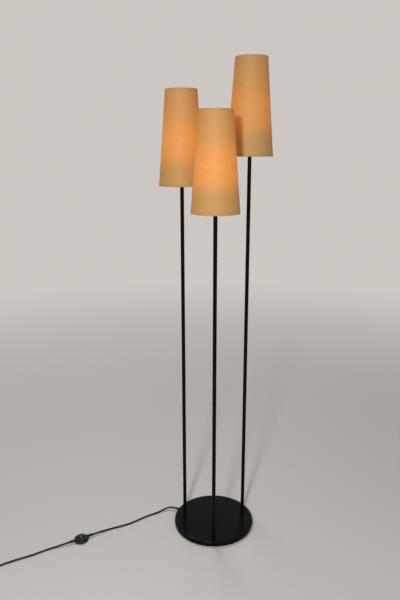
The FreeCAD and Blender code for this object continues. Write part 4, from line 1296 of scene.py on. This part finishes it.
class LAMP_OT_add_bulbs(bpy.types.Operator):
    """Add the opal bulbs and their threaded caps"""
    bl_idname = "floor_lamp.add_bulbs"
    bl_label = "Add bulbs"

    def execute(self, context):
        for side in SIDES:
            place = light_place(side)
            glass = turned_line("glass", [(0, BULB_FOOT * MM), *smooth_line(BULB_KNOTS)], 72)
            add_piece(side + "_opal_bulb", glass, ["opal"], replaces=[side + "_bulb"],
                      place=place, even=False)
            shell = threaded("shell", 13.1, 1.1, 3.6, 80.5, 95.0, crest=0.9)
            collar = turned("collar", [(0, 94.6), (13.0, 94.6, 0.3), (13.0, 97.2, 0.5), (12.5, 97.6),
                                       (0, 97.6)], 3, 64)
            foot = turned("foot", [(0, 73.1), (4, 73.1, 0.5), (5, 74.5, 0.5), (11, 77.2, 1), (12, 80.6),
                                   (0, 80.6)], 3, 48)
            cap = joined("cap", [shell, collar, foot], sharp=50)
            add_piece(side + "_screw_cap", cap, ["cap_metal"],
                      replaces=[side + "_bulb_cap"], place=place)
        return {"FINISHED"}


# How bright each bulb is, against the middle one.
BULB_GLOW = {"left": 0.90, "middle": 1.0, "right": 0.68}

# The shade's wall: how far the folded hem and its lining stand off it, and how finely it is divided.
HEM_SWELL = 0.35
LINING_SWELL = 0.5
SHADE_ROWS = 12
SHADE_SEGMENTS = 144

# The lapped seam at the back: its width around the shade and its step, and in radians the slope at either
# end of it and how far the even lines keep clear of it.
SEAM_ANGLE = math.pi / 2
SEAM_WIDTH = 11.0
SEAM_STEP = 0.45
SEAM_SLOPES = (0.0008, 0.009)
SEAM_CLEAR = (0.004, 0.012)
ON_SEAM = 1e-6

# The hoops lie in the hems, at a height above the edge and clear of the cloth, and the arms reach them.
HOOP_HEIGHT = 2.5
HOOP_INSET = 1.45
HOOP_SIDES = 12
ARM_INSET = 1.55
ARM_BEND = 9
ARM_TURN = math.radians(30)


def cone_radius(up):
    """The shade's radius at a height."""
    low, high, tall = sizes().shade_bottom / MM, sizes().shade_top / MM, sizes().shade_height / MM
    return low + (high - low) * up / tall


def shade_outline():
    """The wall's outline: up its outside from hem to hem, and down its inside."""
    tall, hem, wall = sizes().shade_height / MM, sizes().hem_height / MM, sizes().shade_wall / MM
    # Counted from either edge: where on the cone a point lies, how far outside it, and its own height.
    fold = [(0, -1.9, 0.15), (0, -1.0, 0), (0, -0.25, 0.25), (0.9, 0.05, 0.9), (2, HEM_SWELL, 2),
            (hem - 1, HEM_SWELL, hem - 1), (hem - 0.2, HEM_SWELL - 0.1, hem - 0.2), (hem, 0.02, hem + 0.1)]
    lining = [(1, -LINING_SWELL - 0.7), (hem - 0.6, -LINING_SWELL), (hem, 0)]
    steps = [tall * n / SHADE_ROWS for n in range(1, SHADE_ROWS)]
    outside = [(cone_radius(at) + out, up) for at, out, up in fold]
    outside += [(cone_radius(up), up) for up in steps]
    outside += [(cone_radius(tall - at) + out, tall - up) for at, out, up in reversed(fold)]
    inside = [(cone_radius(tall - up) - wall + out, tall - up) for up, out in lining]
    inside += [(cone_radius(up) - wall, up) for up in reversed(steps)]
    inside += [(cone_radius(up) - wall + out, up) for up, out in reversed(lining)]
    return outside, inside


def shade_angles(seam):
    """Even turns around the shade, with the seam's own lines in place of those that lie near it."""
    even = [TURN * n / SHADE_SEGMENTS for n in range(SHADE_SEGMENTS)]
    clear = [angle for angle in even
             if not -SEAM_CLEAR[0] < angle - SEAM_ANGLE < seam + SEAM_CLEAR[1]]
    lines = (-SEAM_SLOPES[0], 0.0, seam * 0.33, seam * 0.66, seam, seam + SEAM_SLOPES[1])
    return sorted(clear + [SEAM_ANGLE + line for line in lines])


def shade_mesh(glow_level):
    """The cone of cloth: a lapped seam at the back and a hem turned over the wire at both edges.

    Its UV map holds the distance around and the height, in metres, and its glow attribute says how bright
    the bulb behind it is.
    """
    outside, inside = shade_outline()
    outline = outside + inside
    mean = (sizes().shade_bottom + sizes().shade_top) / 2
    seam = SEAM_WIDTH * MM / mean
    angles = shade_angles(seam)
    shape = bmesh.new()
    uv_layer = shape.loops.layers.uv.new("cloth")
    rows = []
    for number, (across, up) in enumerate(outline):
        row = []
        for angle in angles:
            lapped = number < len(outside) and -ON_SEAM < angle - SEAM_ANGLE < seam + ON_SEAM
            reach = across + (SEAM_STEP if lapped else 0.0)
            row.append(shape.verts.new(polar(reach * MM, angle, up * MM)))
        rows.append(row)
    for number, other in neighbours(len(outline)):
        backing = len(outside) - 1 <= number < len(outline) - 1
        for n, m in neighbours(len(angles)):
            face = shape.faces.new((rows[number][n], rows[number][m], rows[other][m], rows[other][n]))
            face.material_index = 1 if backing else 0
            start, end = angles[n], angles[m] + (TURN if m == 0 else 0.0)
            corners = ((start, number), (end, number), (end, other), (start, other))
            for loop, (angle, row_number) in zip(face.loops, corners):
                loop[uv_layer].uv = (angle * mean, outline[row_number][1] * MM)
    mesh = closed_up("shade", shape, sharp=45)
    glow = mesh.attributes.new("glow", "FLOAT", "POINT")
    glow.data.foreach_set("value", [glow_level] * len(mesh.vertices))
    return mesh


class LAMP_OT_add_shades(bpy.types.Operator):
    """Add the cloth shades and their wire frames"""
    bl_idname = "floor_lamp.add_shades"
    bl_label = "Add shades"

    def execute(self, context):
        for side in SIDES:
            body = side + "_shade"
            place = light_place(side)
            shade = add_piece(side + "_cloth_shade", shade_mesh(BULB_GLOW[side]), ["cloth", "backing"],
                              body=body, replaces=[side + "_shade"], place=place)
            heights = (HOOP_HEIGHT, sizes().shade_height / MM - HOOP_HEIGHT)
            wires = joined("wires", [self.hoop(up) for up in heights])
            hoops = add_piece(side + "_hoop_wires", wires, ["frame_enamel"], body=body,
                              replaces=[side + "_shade_hoops"], place=place, even=False)
            self.add_spider(side, body, place)
        return {"FINISHED"}

    @staticmethod
    def hoop(up):
        """A round wire inside the hem."""
        wire = sizes().wire_radius / MM
        across = cone_radius(up) - HOOP_INSET - wire
        angles = [TURN * n / HOOP_SIDES for n in range(HOOP_SIDES)]
        section = [((across + wire * math.cos(angle)) * MM, (up + wire * math.sin(angle)) * MM)
                   for angle in angles]
        return turned_line("hoop", section, 128)

    @staticmethod
    def add_spider(side, body, place):
        """The fitter: a flat ring on the holder's shoulder with three bent wires down to the bottom hoop."""
        wire = sizes().wire_radius / MM
        ring = turned("ring", [(20.05, 79.1, 0.3), (26.5, 79.1, 0.5), (26.5, 80.9, 0.5), (20.05, 80.9, 0.3)],
                      3, 96)
        foot = sizes().shade_bottom / MM - ARM_INSET - 3 * wire
        line = rounded([(24.6, 79.4), (34.5, 79.4, ARM_BEND), (foot - 5.5, 9.5, ARM_BEND),
                        (foot + 0.4, 2.6)], 9)
        arm = plain_mesh("arm", round_curve("arm", "POLY", [(across, 0, up) for across, up in line],
                                            wire * MM, 4))
        spider = joined("spider", [ring, copies_around(arm, 3, "frame_enamel", ARM_TURN)], sharp=50)
        add_piece(side + "_spider", spider, ["frame_enamel"], body=body,
                  replaces=[side + "_fitter"], place=place)


# ---------------------------------------------------------------------------------------------------------
# The add-on
# ---------------------------------------------------------------------------------------------------------
STEPS = (LAMP_OT_add_stage, LAMP_OT_add_foot_switch, LAMP_OT_add_lead, LAMP_OT_add_base, LAMP_OT_add_stems,
         LAMP_OT_add_holders, LAMP_OT_add_bulbs, LAMP_OT_add_shades)


class LAMP_PT_pieces(bpy.types.Panel):
    """The steps that dress the lamp, and its settings"""
    bl_idname = "LAMP_PT_pieces"
    bl_label = "Floor lamp"
    bl_space_type = "VIEW_3D"
    bl_region_type = "UI"
    bl_category = "Floor lamp"

    def draw(self, context):
        for step in STEPS:
            self.layout.operator(step.bl_idname)
        for group in (context.scene.lamp_sizes, context.scene.lamp_colours):
            column = self.layout.column(align=True)
            for name in group.bl_rna.properties.keys():
                if name not in ("rna_type", "name"):
                    column.prop(group, name)


CLASSES = (LampSizes, LampColours, *STEPS, LAMP_PT_pieces)


def register():
    for cls in CLASSES:
        bpy.utils.register_class(cls)
    bpy.types.Scene.lamp_sizes = bpy.props.PointerProperty(type=LampSizes)
    bpy.types.Scene.lamp_colours = bpy.props.PointerProperty(type=LampColours)


def unregister():
    del bpy.types.Scene.lamp_colours
    del bpy.types.Scene.lamp_sizes
    for cls in reversed(CLASSES):
        bpy.utils.unregister_class(cls)


def main():
    register()
    for step in STEPS:
        group, name = step.bl_idname.split(".")
        if getattr(getattr(bpy.ops, group), name)() != {"FINISHED"}:
            raise RuntimeError(step.bl_label + " didn't finish")


if __name__ == "__main__":
    main()
